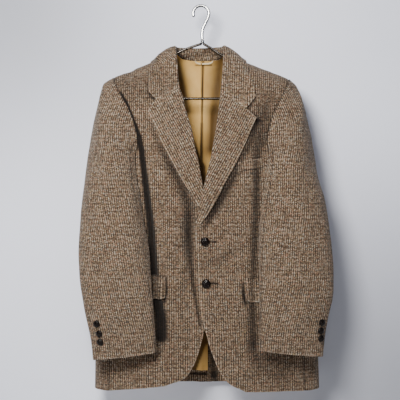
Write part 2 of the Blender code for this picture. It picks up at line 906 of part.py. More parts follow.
def lifted_off(middle, surface, first_column, least):
    """A collar's or lapel's fall, kept at least this far off the body's surface."""
    fall = middle[:, first_column:]
    for _ in range(3):
        behind = fall[..., 1] > 0
        centre, half_width, _, _ = ring_sizes(fall[..., 2])
        angle = reach_to_angle((fall[..., 0] - centre) / half_width, behind)
        ridge, _ = shoulder(angle)
        run = run_at(angle, fall[..., 2])
        normals = normals_of(surface, angle, run)
        level = np.sum((fall - surface(angle, run)) * normals, -1)
        short = np.maximum(least - level, 0) * (fall[..., 2] < ridge + 4)
        fall = fall + normals * short[..., None]
    result = middle.copy()
    result[:, first_column:] = fall
    return result


def wall_from_middle(name, middle, wall, material):
    normals = grid_normals(middle)
    outer, inner = middle + normals * wall / 2, middle - normals * wall / 2
    return make_wall(name, outer, inner, material)


def lapel(side, material):
    """A lapel: the front's cloth turned over at the roll line, down to the top button."""
    surface = SURFACES["front_" + SIDE_NAMES[side]]
    parts = np.linspace(0, 1, LAPEL_ROWS)
    roll_table = LAPEL_ROLL[side]
    roll_z = lerp(roll_table[0, 0], roll_table[-1, 0], parts)
    roll_x = smooth_table(roll_table, roll_z, 1)
    edge_xz = along(LAPEL_EDGE[side], parts)
    flat = eased((parts - 0.45) / 0.4) if side == RIGHT else eased((parts - 0.8) / 0.2)
    radius = lerp(ROLL_RADIUS, FLAT_ROLL_RADIUS, flat)
    centre_level = radius - TWEED / 2
    roll, roll_normals = place(surface, roll_x, roll_z, level=centre_level)
    edge_level = lerp(LAPEL_LEVEL, 1.7, flat)
    edge, edge_normals = place(surface, edge_xz[:, 0], edge_xz[:, 1], level=edge_level)
    tangents = unit(np.gradient(roll, axis=0))
    bow = LAPEL_BOW * (1 - flat)
    rows = []
    for index in range(LAPEL_ROWS):
        outward = unit(roll_normals[index] + edge_normals[index])
        rows.append(
            rolled_section(
                roll[index], edge[index], outward, tangents[index], radius[index], bow[index]
            )
        )
    middle = np.array(rows)
    vertex = np.array(NOTCH[side][0], float)
    bend_to_notch(middle, np.array((roll_x[0], roll_z[0])), vertex, edge_xz[0], 1, 1.0)
    middle = lifted_off(middle, surface, LAPEL_FALL_FROM, LAPEL_LEVEL)
    name = "lapel_" + SIDE_NAMES[side]
    return wall_from_middle(name, middle, TWEED, material)


def bend_to_notch(middle, roll_xz, vertex, tip, direction, gap):
    """Moves a section's end row onto the gorge seam and the notch, fading into the next rows."""
    falls = len(FALL_PARTS)
    for column, part in enumerate(FALL_PARTS):
        if part <= VERTEX_PART:
            wanted = lerp(roll_xz, vertex, part / VERTEX_PART)
        else:
            wanted = lerp(vertex, tip, (part - VERTEX_PART) / (1 - VERTEX_PART))
        column_index = middle.shape[1] - falls + column
        now = middle[0, column_index, [0, 2]]
        shift = wanted - now
        if part == 1.0:
            shift = shift * 0
        shift[1] -= direction * gap
        for row, share in enumerate((1.0, 0.55, 0.2)):
            middle[row, column_index, 0] += shift[0] * share
            middle[row, column_index, 2] += shift[1] * share
    for column_index in range(middle.shape[1] - falls):
        middle[0, column_index, 2] -= direction * gap


def collar(material):
    """The collar: a stand up from the neck seam, a roll, and a fall over the shoulders."""
    surface = SURFACES["plain"]
    rolls, edges, seams, outwards = [], [], [], []
    for roll, edge, seam in COLLAR_STATIONS:
        edge_point, edge_normal = place(surface, edge[0], edge[1], bool(edge[2]), COLLAR_LEVEL)
        side = LEFT if seam[0] > 0 else RIGHT
        seam_z = float(back_neck_z(side, seam[0])) + STAND_GAP if seam[2] else seam[1]
        seam_point, _ = place(surface, seam[0], seam_z, bool(seam[2]), -TWEED / 2)
        rolls.append(roll)
        edges.append(edge_point)
        seams.append(seam_point)
        outwards.append(edge_normal)
    count = (len(rolls) - 1) * COLLAR_STEPS + 1
    parts = np.linspace(0, 1, count)
    key_parts = np.linspace(0, 1, len(rolls))

    def even(values):
        table = np.column_stack([key_parts, np.asarray(values, float)])
        return np.stack([smooth_table(table, parts, axis) for axis in (1, 2, 3)], -1)

    rolls, edges, seams, outwards = even(rolls), even(edges), even(seams), unit(even(outwards))
    tangents = unit(np.gradient(rolls, axis=0))
    rows = []
    for index in range(count):
        rows.append(
            rolled_section(
                rolls[index],
                edges[index],
                outwards[index],
                tangents[index],
                COLLAR_ROLL_RADIUS,
                COLLAR_BOW,
                seams[index],
            )
        )
    middle = np.array(rows)
    for side, grid in ((RIGHT, middle), (LEFT, middle[::-1])):
        vertex, point = (np.array(pair, float) for pair in NOTCH[side])
        bend_to_notch(grid, grid[0, 4, [0, 2]].copy(), vertex, point, -1, 0.7)
    middle = lifted_off(middle, surface, COLLAR_FALL_FROM, COLLAR_LEVEL)
    return wall_from_middle("collar", middle[::-1], TWEED, material)


# ---------------------------------------------------------------------------------------------
# Sleeves


def outside_body(points, clearance, side):
    """Points that lie in the body, or nearer it than the clearance, moved out along rays."""
    centre, half_width, front, back = ring_sizes(points[..., 2])
    # Above the armhole's lower half the sleeve is free of the body
    full = lerp(0.5, 1.0, eased((SLEEVE_FREE_Z - points[..., 2]) / 60))
    half_width, front, back = half_width * full, front * full, back * full
    start = np.array([side * 100.0, 4.0])
    ray = points[..., :2] - start

    def inside(scale):
        x, y = start[0] + ray[..., 0] * scale, start[1] + ray[..., 1] * scale
        depth = np.where(y < 0, front, back) + clearance
        reach = np.abs(x - centre) / (half_width + clearance)
        return reach**BODY_POWER + (np.abs(y) / depth) ** BODY_POWER < 1

    near, far = np.ones_like(centre), np.full_like(centre, 40.0)
    moved = inside(near)
    for _ in range(30):
        middle = (near + far) / 2
        held = inside(middle)
        near, far = np.where(held, middle, near), np.where(held, far, middle)
    result = points.copy()
    result[..., :2] = np.where(moved[..., None], start + ray * far[..., None], points[..., :2])
    return result


def chords_outside(points, clearance, side):
    """A tube's points, moved out until the straight runs between them clear the body too."""
    for _ in range(6):
        for down, across in ((0, 1), (1, 0), (1, 1)):
            middle = (points + np.roll(points, (-down, -across), (0, 1))) / 2
            shift = outside_body(middle, clearance, side) - middle
            if down:
                shift[-1] = 0
            points = points + shift + np.roll(shift, (down, across), (0, 1))
    return points


def sleeve_grid(side):
    """A sleeve's inner surface: rows down from the armhole, columns round from the front pitch."""
    keys = sorted(ARMHOLE)
    turns = np.radians(np.array(keys, float))
    holes = np.array([armhole(side, key) for key in keys])
    run = np.maximum(run_at(holes[:, 0], holes[:, 1]), SEAM_GAP)
    starts = SURFACES["plain"](holes[:, 0], run)
    normals = normals_of(SURFACES["plain"], holes[:, 0], run)
    middle = starts.mean(axis=0)
    inward = unit(middle - starts - normals * np.sum((middle - starts) * normals, -1, keepdims=True))
    under = eased(0.35 - 1.2 * np.sin(turns))
    lift = lerp(SLEEVE_LIFT, SLEEVE_UNDER_LIFT, under)
    starts = starts + normals * lift[:, None] + inward * SLEEVE_LIFT
    table = SLEEVE_RINGS[side]
    cuff_turn = turns + math.radians(float(smooth_table(table, np.array(-800.0), 5)))
    inner_z, outer_z = CUFF_Z[side]
    cuff_z = lerp(inner_z, outer_z, (1 - np.cos(cuff_turn)) / 2)
    drops = np.array(SLEEVE_HEAD_DROPS, float)
    head = holes[:, 1][None, :] - drops[:, None]
    lower_parts = np.linspace(0, 1, SLEEVE_LOWER_ROWS + 1)[1:, None]
    heights = np.concatenate([head, lerp(head[-1][None, :], cuff_z[None, :], lower_parts)])
    heights = np.minimum(heights, starts[:, 2][None, :])
    ring = [smooth_table(table, heights, column) for column in (1, 2, 3, 4, 5)]
    angle = turns[None, :] + np.radians(ring[4])
    target = np.stack(
        [
            side * (ring[0] - ring[1] * np.cos(angle)),
            ring[2] - ring[3] * np.sin(angle),
            heights,
        ],
        -1,
    )
    drop = starts[None, :, 2] - heights
    # The cap rounds over quickly at the tip and slowly down its front and back
    reach_drop = 20 + 42 * np.abs(np.cos(turns)) * (np.sin(turns) > -0.3)
    rounding = np.clip(drop / reach_drop[None, :], 0, 1)
    share = (1 - (1 - rounding) ** 1.7)[..., None]
    clearance = lerp(lift[None, :], SLEEVE_CLEARANCE_TOP, np.clip(drop / 12, 0, 1))
    low = np.clip((-440 - heights) / 90, 0, 1)
    clearance = lerp(clearance, SLEEVE_CLEARANCE_LOW, low)
    target = outside_body(target, clearance, side)
    points = lerp(starts[None], target, share)
    points[..., 2] = heights
    points[0, :, 2] = starts[:, 2]
    points[1:] = outside_body(points[1:], clearance[1:], side)
    points = chords_outside(points, np.minimum(SLEEVE_CHORD_CLEARANCE, clearance), side)
    front = eased((ring[2] - points[..., 1]) / (0.5 * ring[3]))
    shift = line_strength(SLEEVE_FOLDS[side], points[..., 0], points[..., 2]) * front
    outward = side * grid_normals(points, around=True)
    fade = np.clip(drop / 60, 0, 1)
    return points + outward * (shift * fade)[..., None]


def sleeve(side, material):
    """A two-piece sleeve: the top sleeve and the under sleeve."""
    grid = sleeve_grid(side)
    normals = side * grid_normals(grid, around=True)
    half = sorted(ARMHOLE).index(180)
    closed = np.concatenate([grid, grid[:, :1]], axis=1)
    closed_normals = np.concatenate([normals, normals[:, :1]], axis=1)
    made = {}
    for name, piece in (("top_sleeve", slice(0, half + 1)), ("under_sleeve", slice(half, None))):
        inner = closed[:, piece].copy()
        piece_normals = closed_normals[:, piece]
        for end, neighbour in ((0, 1), (-1, -2)):
            inner[:, end] += unit(inner[:, neighbour] - inner[:, end]) * SEAM_GAP * 0.7
        outer = inner + piece_normals * TWEED
        node = name + "_" + SIDE_NAMES[side]
        made[name] = make_wall(node, outer, inner, material)
    return made


# ---------------------------------------------------------------------------------------------
# Pockets, buttons and the loop


def laid_wall(name, surface, x, z, low_level, wall, material):
    """A piece that lies on a panel, made from the panel's points moved out."""
    points, normals = place(surface, x, z)
    inner = points + normals * low_level[..., None]
    return make_wall(name, inner + normals * wall, inner, material)


def pocket_flap(side, material):
    front_x, outer_x, top_z, rise, depth = FLAPS[side]
    columns, rows = 10, 5
    across = np.concatenate([[0, 0.03, 0.1], np.linspace(0.2, 0.8, columns - 6), [0.9, 0.97, 1]])
    x = lerp(front_x, outer_x, across)
    from_end = np.minimum(np.abs(x - front_x), np.abs(x - outer_x))
    corner = np.clip(1 - from_end / FLAP_CORNER, 0, 1)
    length = depth - FLAP_CORNER * (1 - np.sqrt(1 - corner**2))
    down = np.linspace(0, 1, rows)[:, None]
    z = top_z + rise * across[None, :] - length[None, :] * down
    level = LAID_GAP + FLAP_LIFT * down * np.ones_like(z)
    name = "flap_" + SIDE_NAMES[side]
    surface = SURFACES["front_" + SIDE_NAMES[side]]
    return laid_wall(name, surface, np.broadcast_to(x, z.shape), z, level, FLAP_WALL, material)


def breast_welt(material):
    across = np.linspace(0, 1, 6)[None, :]
    down = np.linspace(0, 1, 3)[:, None]
    x = lerp(WELT_FROM_X, WELT_TO_X, across) + 0 * down
    z = WELT_TOP_Z + WELT_RISE * across - WELT_DEPTH * down
    level = np.full_like(z, LAID_GAP)
    return laid_wall("breast_welt", SURFACES["front_left"], x, z, level, TWEED, material)


def make_button(name, centre, normal, diameter, height, material):
    """A domed button on a flat back, turned to face along its normal."""
    points = [(0, 0, height), (0, 0, 0)]
    for radius, level in BUTTON_PROFILE[1:]:
        for index in range(BUTTON_SIDES):
            turn = 2 * math.pi * index / BUTTON_SIDES
            reach = radius * diameter / 2
            points.append((reach * math.cos(turn), reach * math.sin(turn), level * height))
    faces = []
    rings = len(BUTTON_PROFILE) - 1
    for index in range(BUTTON_SIDES):
        other = (index + 1) % BUTTON_SIDES
        faces.append((0, 2 + index, 2 + other))
        for ring in range(rings - 1):
            start = 2 + ring * BUTTON_SIDES
            after = start + BUTTON_SIDES
            faces.append((start + index, after + index, after + other, start + other))
        last = 2 + (rings - 1) * BUTTON_SIDES
        faces.append((1, last + other, last + index))
    turned = Vector(normal).to_track_quat("Z", "Y").to_matrix().to_4x4()
    matrix = Matrix.Translation(Vector(centre)) @ turned
    placed = [tuple(matrix @ Vector(point)) for point in points]
    return make_object(name, np.array(placed), faces, material)


def front_buttons(material):
    for index, (x, z) in enumerate(FRONT_BUTTONS, 1):
        centre, normal = place(SURFACES["front_left"], x, z, level=LAID_GAP + 0.1)
        name = f"front_button_{index}"
        diameter, height = FRONT_BUTTON_DIAMETER, FRONT_BUTTON_HEIGHT
        make_button(name, centre, normal, diameter, height, material)


def cuff_buttons(side, top_sleeve, material):
    """Three buttons by the hindarm seam, each seated on the sleeve's outer surface."""
    mesh = top_sleeve.data
    tree = BVHTree.FromPolygons(
        [vertex.co for vertex in mesh.vertices], [tuple(face.vertices) for face in mesh.polygons]
    )
    for index, (x, z) in enumerate(CUFF_BUTTONS[side], 1):
        hit, normal, _, _ = tree.ray_cast(Vector((x, -400, z)) * MM, Vector((0, 1, 0)))
        seat = np.array(hit) / MM + np.array(normal) * 0.9
        name = f"cuff_button_{SIDE_NAMES[side]}_{index}"
        diameter, height = CUFF_BUTTON_DIAMETER, CUFF_BUTTON_HEIGHT
        make_button(name, seat, normal, diameter, height, material)


def hanging_loop(material):
    """A narrow tape across the back neck, slack between its two sewn ends."""
    across = np.linspace(0, 1, 11)[None, :]
    down = np.linspace(0, 1, 2)[:, None]
    x = lerp(LOOP_FROM_X, LOOP_TO_X, across) + 0 * down
    sag = LOOP_SAG * (1 - (2 * across - 1) ** 4)
    z = LOOP_Z - sag - LOOP_WIDTH * down
    points, normals = place(SURFACES["plain"], x, z, True)
    level = -(TWEED + 2 * LINING_GAP + LINING)
    outer = points + normals * level
    return make_wall("hanging_loop", outer, outer - normals * LOOP_WALL, material)


# ---------------------------------------------------------------------------------------------
# Hanger


def wire(name, points, diameter, material):
    """A round wire along a run of points."""
    curve = bpy.data.curves.new(name, "CURVE")
    curve.dimensions = "3D"
    curve.bevel_depth = diameter / 2 * MM
    curve.bevel_resolution = 1
    curve.use_fill_caps = True
    spline = curve.splines.new("POLY")
    spline.points.add(len(points) - 1)
    for point, (x, z) in zip(spline.points, points):
        point.co = (x * MM, 0, z * MM, 1)
    curve.materials.append(material)
    obj = bpy.data.objects.new(name, curve)
    bpy.context.scene.collection.objects.link(obj)
    return obj


def hanger_hook(material):
    """The hook: an arc, then an S-bend down to the ferrule."""
    centre_z = HOOK_WIRE / 2 - HOOK_RADIUS
    turns = np.radians(np.linspace(HOOK_TIP_ANGLE, -14, 18))
    arc = [
        (HOOK_CENTRE_X + HOOK_RADIUS * math.cos(turn), centre_z + HOOK_RADIUS * math.sin(turn))
        for turn in turns
    ]
    stem = along([arc[-1], *HOOK_STEM], 11)[1:]
    return wire("hanger_hook", arc + [tuple(point) for point in stem], HOOK_WIRE, material)


def hanger_frame(material):
    """The arms under the shoulders and the bar between them, bent from one wire."""
    halves = {}
    for side in (LEFT, RIGHT):
        under_x = side * np.linspace(ARM_UNDER_FROM, ARM_UNDER_TO, ARM_UNDER_STEPS)
        under_z = smooth_table(RIDGE, under_x, 1) - ARM_BELOW_RIDGE
        under = list(zip(under_x, under_z))
        run = along([*ARM_VISIBLE[side], under[0]], 6)
        radius = (under_z[-1] - BAR_Z) / 2
        corner = [
            (under_x[-1] + side * radius * math.sin(turn), under_z[-1] - radius * (1 - math.cos(turn)))
            for turn in np.linspace(0, math.pi, FRAME_CORNER_STEPS + 1)[1:]
        ]
        halves[side] = [tuple(point) for point in run[:-1]] + under + corner
    points = halves[RIGHT] + halves[LEFT][::-1]
    return wire("hanger_frame", points, FRAME_WIRE, material)


def hanger_ferrule(material):
    """The short collar that joins the hook to the frame's two ends."""
    shape = bmesh.new()
    bmesh.ops.create_cone(
        shape,
        cap_ends=True,
        segments=14,
        radius1=FERRULE_DIAMETER / 2 * MM,
        radius2=FERRULE_DIAMETER * 0.36 * MM,
        depth=FERRULE_HEIGHT * MM,
        matrix=Matrix.Translation((APEX_X * MM, 0, (FERRULE_TOP_Z - FERRULE_HEIGHT / 2) * MM)),
    )
    mesh = bpy.data.meshes.new("hanger_ferrule")
    shape.to_mesh(mesh)
    shape.free()
    mesh.materials.append(material)
    obj = bpy.data.objects.new("hanger_ferrule", mesh)
    bpy.context.scene.collection.objects.link(obj)
    return obj


# ---------------------------------------------------------------------------------------------
# Materials and assembly


def hex_colour(text):
    """A linear colour from an sRGB hex value."""
    values = [int(text[start : start + 2], 16) / 255 for start in (1, 3, 5)]
    linear = [v / 12.92 if v <= 0.04045 else ((v + 0.055) / 1.055) ** 2.4 for v in values]
    return (*linear, 1.0)


def make_material(name, colour, roughness, metallic=0.0):
    material = bpy.data.materials.new(name)
    material.use_nodes = True
    material.diffuse_color = hex_colour(colour)
    shader = material.node_tree.nodes["Principled BSDF"]
    shader.inputs["Base Color"].default_value = hex_colour(colour)
    shader.inputs["Roughness"].default_value = roughness
    shader.inputs["Metallic"].default_value = metallic
    return material


def build():
    for obj in list(bpy.data.objects):
        bpy.data.objects.remove(obj)
    tweed = make_material("tweed", "#7d6856", 0.95)
    turned_tweed = make_material("tweed_collar", "#86715f", 0.95)
    lining = make_material("lining", "#b8975f", 0.5)
    tape = make_material("loop_tape", "#d8c7a2", 0.8)
    leather = make_material("button_leather", "#1f1614", 0.3)
    chrome = make_material("hanger_chrome", "#c9cbcd", 0.12, 1.0)
    for side in (LEFT, RIGHT):
        front_panel(side, tweed)
        side_panel(side, tweed)
        back_panel(side, tweed)
        lining_panel(side, lining)
        lapel(side, turned_tweed)
        pocket_flap(side, tweed)
        made = sleeve(side, tweed)
        cuff_buttons(side, made["top_sleeve"], leather)
    collar(turned_tweed)
    breast_welt(tweed)
    front_buttons(leather)
    hanging_loop(tape)
    hanger_hook(chrome)
    hanger_frame(chrome)
    hanger_ferrule(chrome)


build()
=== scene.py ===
"""The looks of a tweed hacking jacket on a wire hanger: cloth, lining, buttons, hanger, sewing.

Sizes are in millimetres and become metres when a mesh is made. The cloth is made of thin shells on
the same lines as the solids, so the body's and the sleeves' tables and functions are the solids'
own. +Z is up, the jacket faces -Y, and +X is the wearer's left.
"""

import math

import bmesh
import bpy
import numpy as np
from mathutils import Matrix, Vector
from mathutils.bvhtree import BVHTree


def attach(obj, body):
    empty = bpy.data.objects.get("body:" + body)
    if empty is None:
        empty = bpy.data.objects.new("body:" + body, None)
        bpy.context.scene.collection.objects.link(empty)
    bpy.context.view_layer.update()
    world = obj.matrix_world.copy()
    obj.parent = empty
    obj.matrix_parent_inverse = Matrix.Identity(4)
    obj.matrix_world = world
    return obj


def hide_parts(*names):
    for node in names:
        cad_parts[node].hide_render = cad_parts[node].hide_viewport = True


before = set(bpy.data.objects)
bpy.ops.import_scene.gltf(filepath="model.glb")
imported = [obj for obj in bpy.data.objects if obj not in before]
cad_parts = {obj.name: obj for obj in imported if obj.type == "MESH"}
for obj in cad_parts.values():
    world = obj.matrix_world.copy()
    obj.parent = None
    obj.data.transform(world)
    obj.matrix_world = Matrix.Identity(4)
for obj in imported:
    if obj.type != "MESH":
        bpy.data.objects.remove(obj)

MM = 0.001
LEFT, RIGHT = 1, -1
SIDE_NAMES = {LEFT: "left", RIGHT: "right"}


def array_of(*rows):
    """Rows of numbers, of equal length, as an array."""
    return np.array(rows, float)



# Cloth
TWEED = 1.8
LINING = 0.8
SEAM_GAP = 0.4
LAID_GAP = 0.35
LINING_GAP = 0.9
LINING_INSET = 0.35

# Levels
HEM_Z = -894.0
BACK_NECK_Z = -119.5
ARMPIT_Z = -391.0
BREAK_Z = -519.0
LINING_HEM_Z = -866.0
VENT_TOP_Z = -640.0
CUTAWAY_Z = -749.0

# The body's rings: a blunt ellipse at each height
BODY_POWER = 2.6
RIDGE_REACH_WIDTH = 235.0
BODY_RINGS = array_of(
    # z, centre, half_width, front_depth, back_depth
    (-80, 0, 235, 47, 58), (-150, 0, 235, 50, 60), (-200, 0, 235, 56, 64), (-250, 1, 236, 62, 67),
    (-320, 2, 237, 69, 67), (-390, 4, 238, 74, 62), (-500, 6, 240, 72, 56), (-650, 9, 250, 67, 57),
    (-780, 12, 260, 66, 59), (-900, 13, 263.5, 66, 60),
)
# The shoulder ridge, seen from the front
RIDGE = array_of(
    # x, z
    (-260, -200), (-206, -169.5), (-171, -155), (-111, -130.5), (-66, -107), (0, -86), (62, -109),
    (101, -131), (141, -148), (206, -173), (260, -203),
)
# How far below the ridge the surface takes to reach its full depth
SHOULDER_ROUND = array_of(
    # reach, front, back
    (0, 125, 80), (0.28, 118, 78), (0.5, 98, 72), (0.7, 78, 64), (0.873, 58, 56), (1, 50, 50),
)

# The armhole, by the angle round the sleeve: 0 front pitch, 90 shoulder tip, 180 back pitch
ARMHOLE = {
    # angle: (reach, z, behind)
    97: (0.861, -178, 1), 90: (0.874, None, 0), 83: (0.861, -178.5, 0), 75: (0.846, -190, 0),
    60: (0.797, -213, 0), 45: (0.737, -236, 0), 30: (0.684, -264, 0), 15: (0.645, -293, 0),
    0: (0.628, -319, 0), 345: (0.64, -344, 0), 330: (0.682, -365, 0), 315: (0.765, -381, 0),
    300: (0.9, -388, 0), 285: (0.975, -390, 0), 270: (1.0, ARMPIT_Z, 0), 255: (0.975, -389, 1),
    240: (0.91, -381, 1), 225: (0.845, -366, 1), 210: (0.8, -345, 1), 195: (0.775, -320, 1),
    180: (0.765, -295, 1), 165: (0.768, -270, 1), 150: (0.777, -245, 1), 135: (0.793, -222, 1),
    120: (0.818, -201, 1), 105: (0.847, -184, 1),
}
FRONT_SEAM_ANGLE, BACK_SEAM_ANGLE = 315, 225
# The body's half width where the seams' gaps are measured
SEAM_RING_WIDTH = 240.0
# The seams between front and side body, and side body and back, below the armhole
SIDE_SEAMS = array_of(
    # z, front_reach, back_reach
    (-381, 0.765, 0.845), (-430, 0.79, 0.845), (-520, 0.83, 0.85), (-650, 0.85, 0.855),
    (-894, 0.86, 0.86),
)

# The fronts' inner edges, from the neck point down: neckline, roll line, front edge and cutaway
FRONT_EDGES = {
    LEFT: array_of(
        # z, x
        (-109.5, 62), (-140, 57), (-173, 55), (-209, 51), (-222, 48.5), (-283, 40.5), (-355, 28),
        (-405, 15.7), (-446, 6.5), (-483, -3), (BREAK_Z, -13), (-540, -13), (-578, -8.5), (-647, -5.8),
        (-683, -4), (-717, 1), (-747, 7.7), (-770, 12.7), (-795, 21.4), (-823, 31.6), (-848, 43),
        (-868, 57), (-882.5, 77), (-893, 101),
    ),
    RIGHT: array_of(
        # z, x
        (-107.5, -66), (-140, -62.5), (-170, -60), (-200, -57), (-219, -49), (-243, -44), (-282, -31.5),
        (-324, -23.5), (-375, -11.5), (-426, -3), (-470, 5), (BREAK_Z, 13), (-560, 19), (-600, 21),
        (-690, 19), (-720, 14), (-749, 7), (-765, 4), (-788, -3.3), (-820, -13.5), (-843, -25),
        (-863.5, -42), (-874, -61), (-879.5, -83),
    ),
}
LOWER_ROWS = (-424, -474, -530, -590, -650, -705, -749, -786, -820, -850, -876, HEM_Z)
FRONT_COLUMNS = 11
NECK_COLUMNS, SHOULDER_COLUMNS = 4, 8
CENTRE_BACK_X = 1.0
UNDERLAP_X = 24.0
UNDERLAP_STEP = 4.2
VENT_SLANT = 26.0
# How far above the vent the lining draws back, and how far from the underlap's edge it lies
LINING_VENT_RISE, LINING_VENT_INSET = 14, {LEFT: 17, RIGHT: -9}

# The right front passes under the left one
TUCK_DEPTH = 7.0
TUCK_FROM_X, TUCK_FULL_X = -52.0, -20.0
TUCK_TOP_Z, TUCK_FULL_Z = -365.0, -425.0
TUCK_END_Z, TUCK_GONE_Z = -772.0, -815.0

# Soft folds that the cloth hangs in: a trough (depth below 0) or ridge along each line
FOLDS = (
    # x0, z0, x1, z1, half_width, depth: in front
    array_of(
        (-74, -392, -30, -500, 22, -4), (-44, -520, -36, -690, 13, -2.6),
        (-72, -560, -66, -760, 22, 2.2), (18, -612, 96, -566, 13, -2.6), (30, -585, 98, -545, 13, 1.8),
        (128, -462, 126, -585, 12, -1.8), (-128, -470, -124, -590, 14, -2.2),
        (60, -700, 84, -860, 20, 2.6), (-110, -700, -126, -880, 22, 2.6),
        (-172, -740, -186, -894, 17, -3), (176, -750, 196, -894, 18, -3),
        (104, -310, 118, -420, 18, 2.4), (-108, -300, -116, -430, 20, 2.4),
    ),
    # Behind
    array_of(
        (-60, -160, -20, -225, 20, -2.2), (64, -165, 22, -230, 18, -2),
        (-120, -330, -96, -560, 24, 3.4), (116, -340, 100, -540, 26, 3), (-62, -420, -48, -600, 18, -3),
        (58, -400, 50, -610, 20, -2.6), (-130, -640, -148, -894, 24, 3.2),
        (128, -650, 140, -894, 22, 3.6), (-70, -700, -78, -894, 20, -2.6),
        (74, -690, 90, -894, 18, -2.8),
    ),
)

# Where a lapel's or the collar's fall has its columns, and which one the notch's vertex is on
FALL_PARTS = (0.2, 0.42, 0.66, 0.84, 1.0)
VERTEX_PART = 0.84
# Lapels: the roll line's own edge, the outer edge, and the notch
LAPEL_ROLL = {
    LEFT: array_of(
        # z, x
        (-209, 44.5), (-222, 43), (-283, 34.8), (-355, 22.5), (-405, 10.2), (-446, 1.4), (-483, -7),
        (-508, -13.5),
    ),
    RIGHT: array_of(
        # z, x
        (-200, -51), (-219, -43.4), (-243, -38.6), (-282, -26), (-324, -18), (-375, -6), (-426, 2.2),
        (-470, 9),
    ),
}
LAPEL_EDGE = {
    LEFT: array_of(
        # x, z
        (125, -265.5), (104, -314), (79.5, -369), (53, -416), (33, -456), (10, -493), (-3, -510),
    ),
    RIGHT: array_of(
        # x, z
        (-121.6, -250), (-102.7, -291), (-88.8, -326), (-65, -369), (-34.5, -424), (-12, -459),
        (-2, -474),
    ),
}
NOTCH = {
    # vertex and collar point, each x, z
    LEFT: ((101, -245), (123.5, -219)), RIGHT: ((-104, -223.5), (-119.5, -207.5)),
}
LAPEL_ROWS = 14
ROLL_RADIUS = 2.5
FLAT_ROLL_RADIUS = 1.25
LAPEL_LEVEL = 1.9
LAPEL_BOW = 3.0
LAPEL_FALL_FROM = 5

# Collar stations, from the right front end round the back to the left front end
COLLAR_STATIONS = (
    # roll x, y, z; outer edge x, z, behind; neck seam x, z (at the back: on the neckline), behind
    ((-51.0, -59.0, -199), (-119.5, -207.5, 0), (-53.8, -201, 0)),
    ((-54.5, -49.5, -166), (-120.5, -180, 0), (-58.2, -168, 0)),
    ((-57.5, -35.5, -131), (-118.5, -153, 0), (-61.0, -135, 0)),
    ((-60.5, -8.0, -98), (-111.5, -131, 0), (-63.4, -107, 0)),
    ((-56.5, 24.0, -92.5), (-86, -141, 1), (-57.0, None, 1)),
    ((-33.0, 47.0, -90), (-42, -144, 1), (-32.0, None, 1)),
    ((-2.0, 54.0, -89), (0, -143, 1), (-0.1, None, 1)),
    ((28.0, 46.5, -89.5), (40, -144, 1), (32.0, None, 1)),
    ((47.5, 23.0, -91.5), (80, -142, 1), (54.0, None, 1)),
    ((51.5, -8.0, -96), (100, -131, 0), (59.4, -109, 0)),
    ((50.5, -36.0, -132), (110, -160, 0), (55.3, -137, 0)),
    ((48.0, -50.5, -171), (118, -188, 0), (53.0, -172, 0)),
    ((44.5, -61.0, -208), (123.5, -219, 0), (47.6, -210, 0)),
)
COLLAR_STEPS = 2
STAND_GAP = 1.1
COLLAR_ROLL_RADIUS = 2.6
COLLAR_BOW = 3.5
COLLAR_LEVEL = 2.6
COLLAR_FALL_FROM = 6

# Sleeves: rings of the hanging tube, by height. The twist turns the seams round as the sleeve hangs
SLEEVE_RINGS = {
    LEFT: array_of(
        # z, centre_x, half_width, centre_y, half_depth, twist
        (-165, 199, 14, 0, 46, 80), (-188, 200, 21, 0, 49, 79), (-206, 202, 27, -2, 51, 77),
        (-232, 202, 35, -6, 55, 75), (-263, 201, 44, -11, 60, 72), (-296, 200, 51, -16, 63, 69),
        (-336, 199, 60, -24, 63, 60), (-372, 199.5, 62, -32, 62, 53), (-464, 208, 74, -57, 50, 36),
        (-511, 210, 77.5, -69, 44, 28), (-558, 212, 80, -79, 38, 22), (-611, 213.5, 82, -87, 33, 18),
        (-660, 213.5, 82, -92, 28, 15), (-716, 207.4, 75.6, -94, 23, 13), (-756, 204, 72, -93, 19, 11),
        (-820, 202, 68, -91, 15, 10),
    ),
    RIGHT: array_of(
        # z, centre_x, half_width, centre_y, half_depth, twist
        (-165, 204, 21, 0, 46, 80), (-190, 204, 27, 0, 49, 79), (-213, 204, 33, -3, 52, 77),
        (-250, 203, 42, -8, 58, 74), (-284, 201, 51, -14, 63, 70), (-320, 200, 57, -21, 64, 64),
        (-363, 199, 63, -30, 63, 55), (-469, 200.3, 72.8, -58, 50, 35),
        (-537, 198.5, 76.5, -75, 40, 25), (-590, 196.4, 79, -86, 34, 20),
        (-655, 190.5, 78.5, -92, 28, 16), (-720, 183, 75, -94, 22, 13), (-773, 175, 71.5, -92, 17, 11),
        (-830, 172.5, 69.5, -90, 14, 10),
    ),
}
SLEEVE_HEAD_DROPS = (0, 3, 8, 16, 29, 46)
SLEEVE_LOWER_ROWS = 11
CUFF_Z = {LEFT: (-793.0, -806.0), RIGHT: (-797.0, -814.0)}
SLEEVE_LIFT, SLEEVE_UNDER_LIFT = 0.6, 2.0
SLEEVE_CLEARANCE_TOP, SLEEVE_CLEARANCE_LOW = 4.0, 7.5
SLEEVE_CHORD_CLEARANCE = 2.0
SLEEVE_FREE_Z = -285.0
SLEEVE_FOLDS = {
    # x0, z0, x1, z1, half_width, depth on the sleeve's front
    LEFT: array_of(
        (252, -330, 232, -470, 13, -2.6), (178, -430, 214, -520, 12, -3),
        (262, -520, 226, -590, 13, -2.6), (160, -560, 200, -640, 14, 2.4),
        (246, -640, 200, -690, 13, -2.4), (210, -680, 214, -790, 16, 1.8),
    ),
    RIGHT: array_of(
        (-244, -330, -226, -460, 13, -2.6), (-168, -420, -206, -505, 12, -3),
        (-254, -500, -214, -570, 13, -2.6), (-150, -560, -190, -630, 14, 2.4),
        (-226, -620, -180, -680, 13, -2.6), (-176, -690, -172, -800, 16, 1.8),
    ),
}

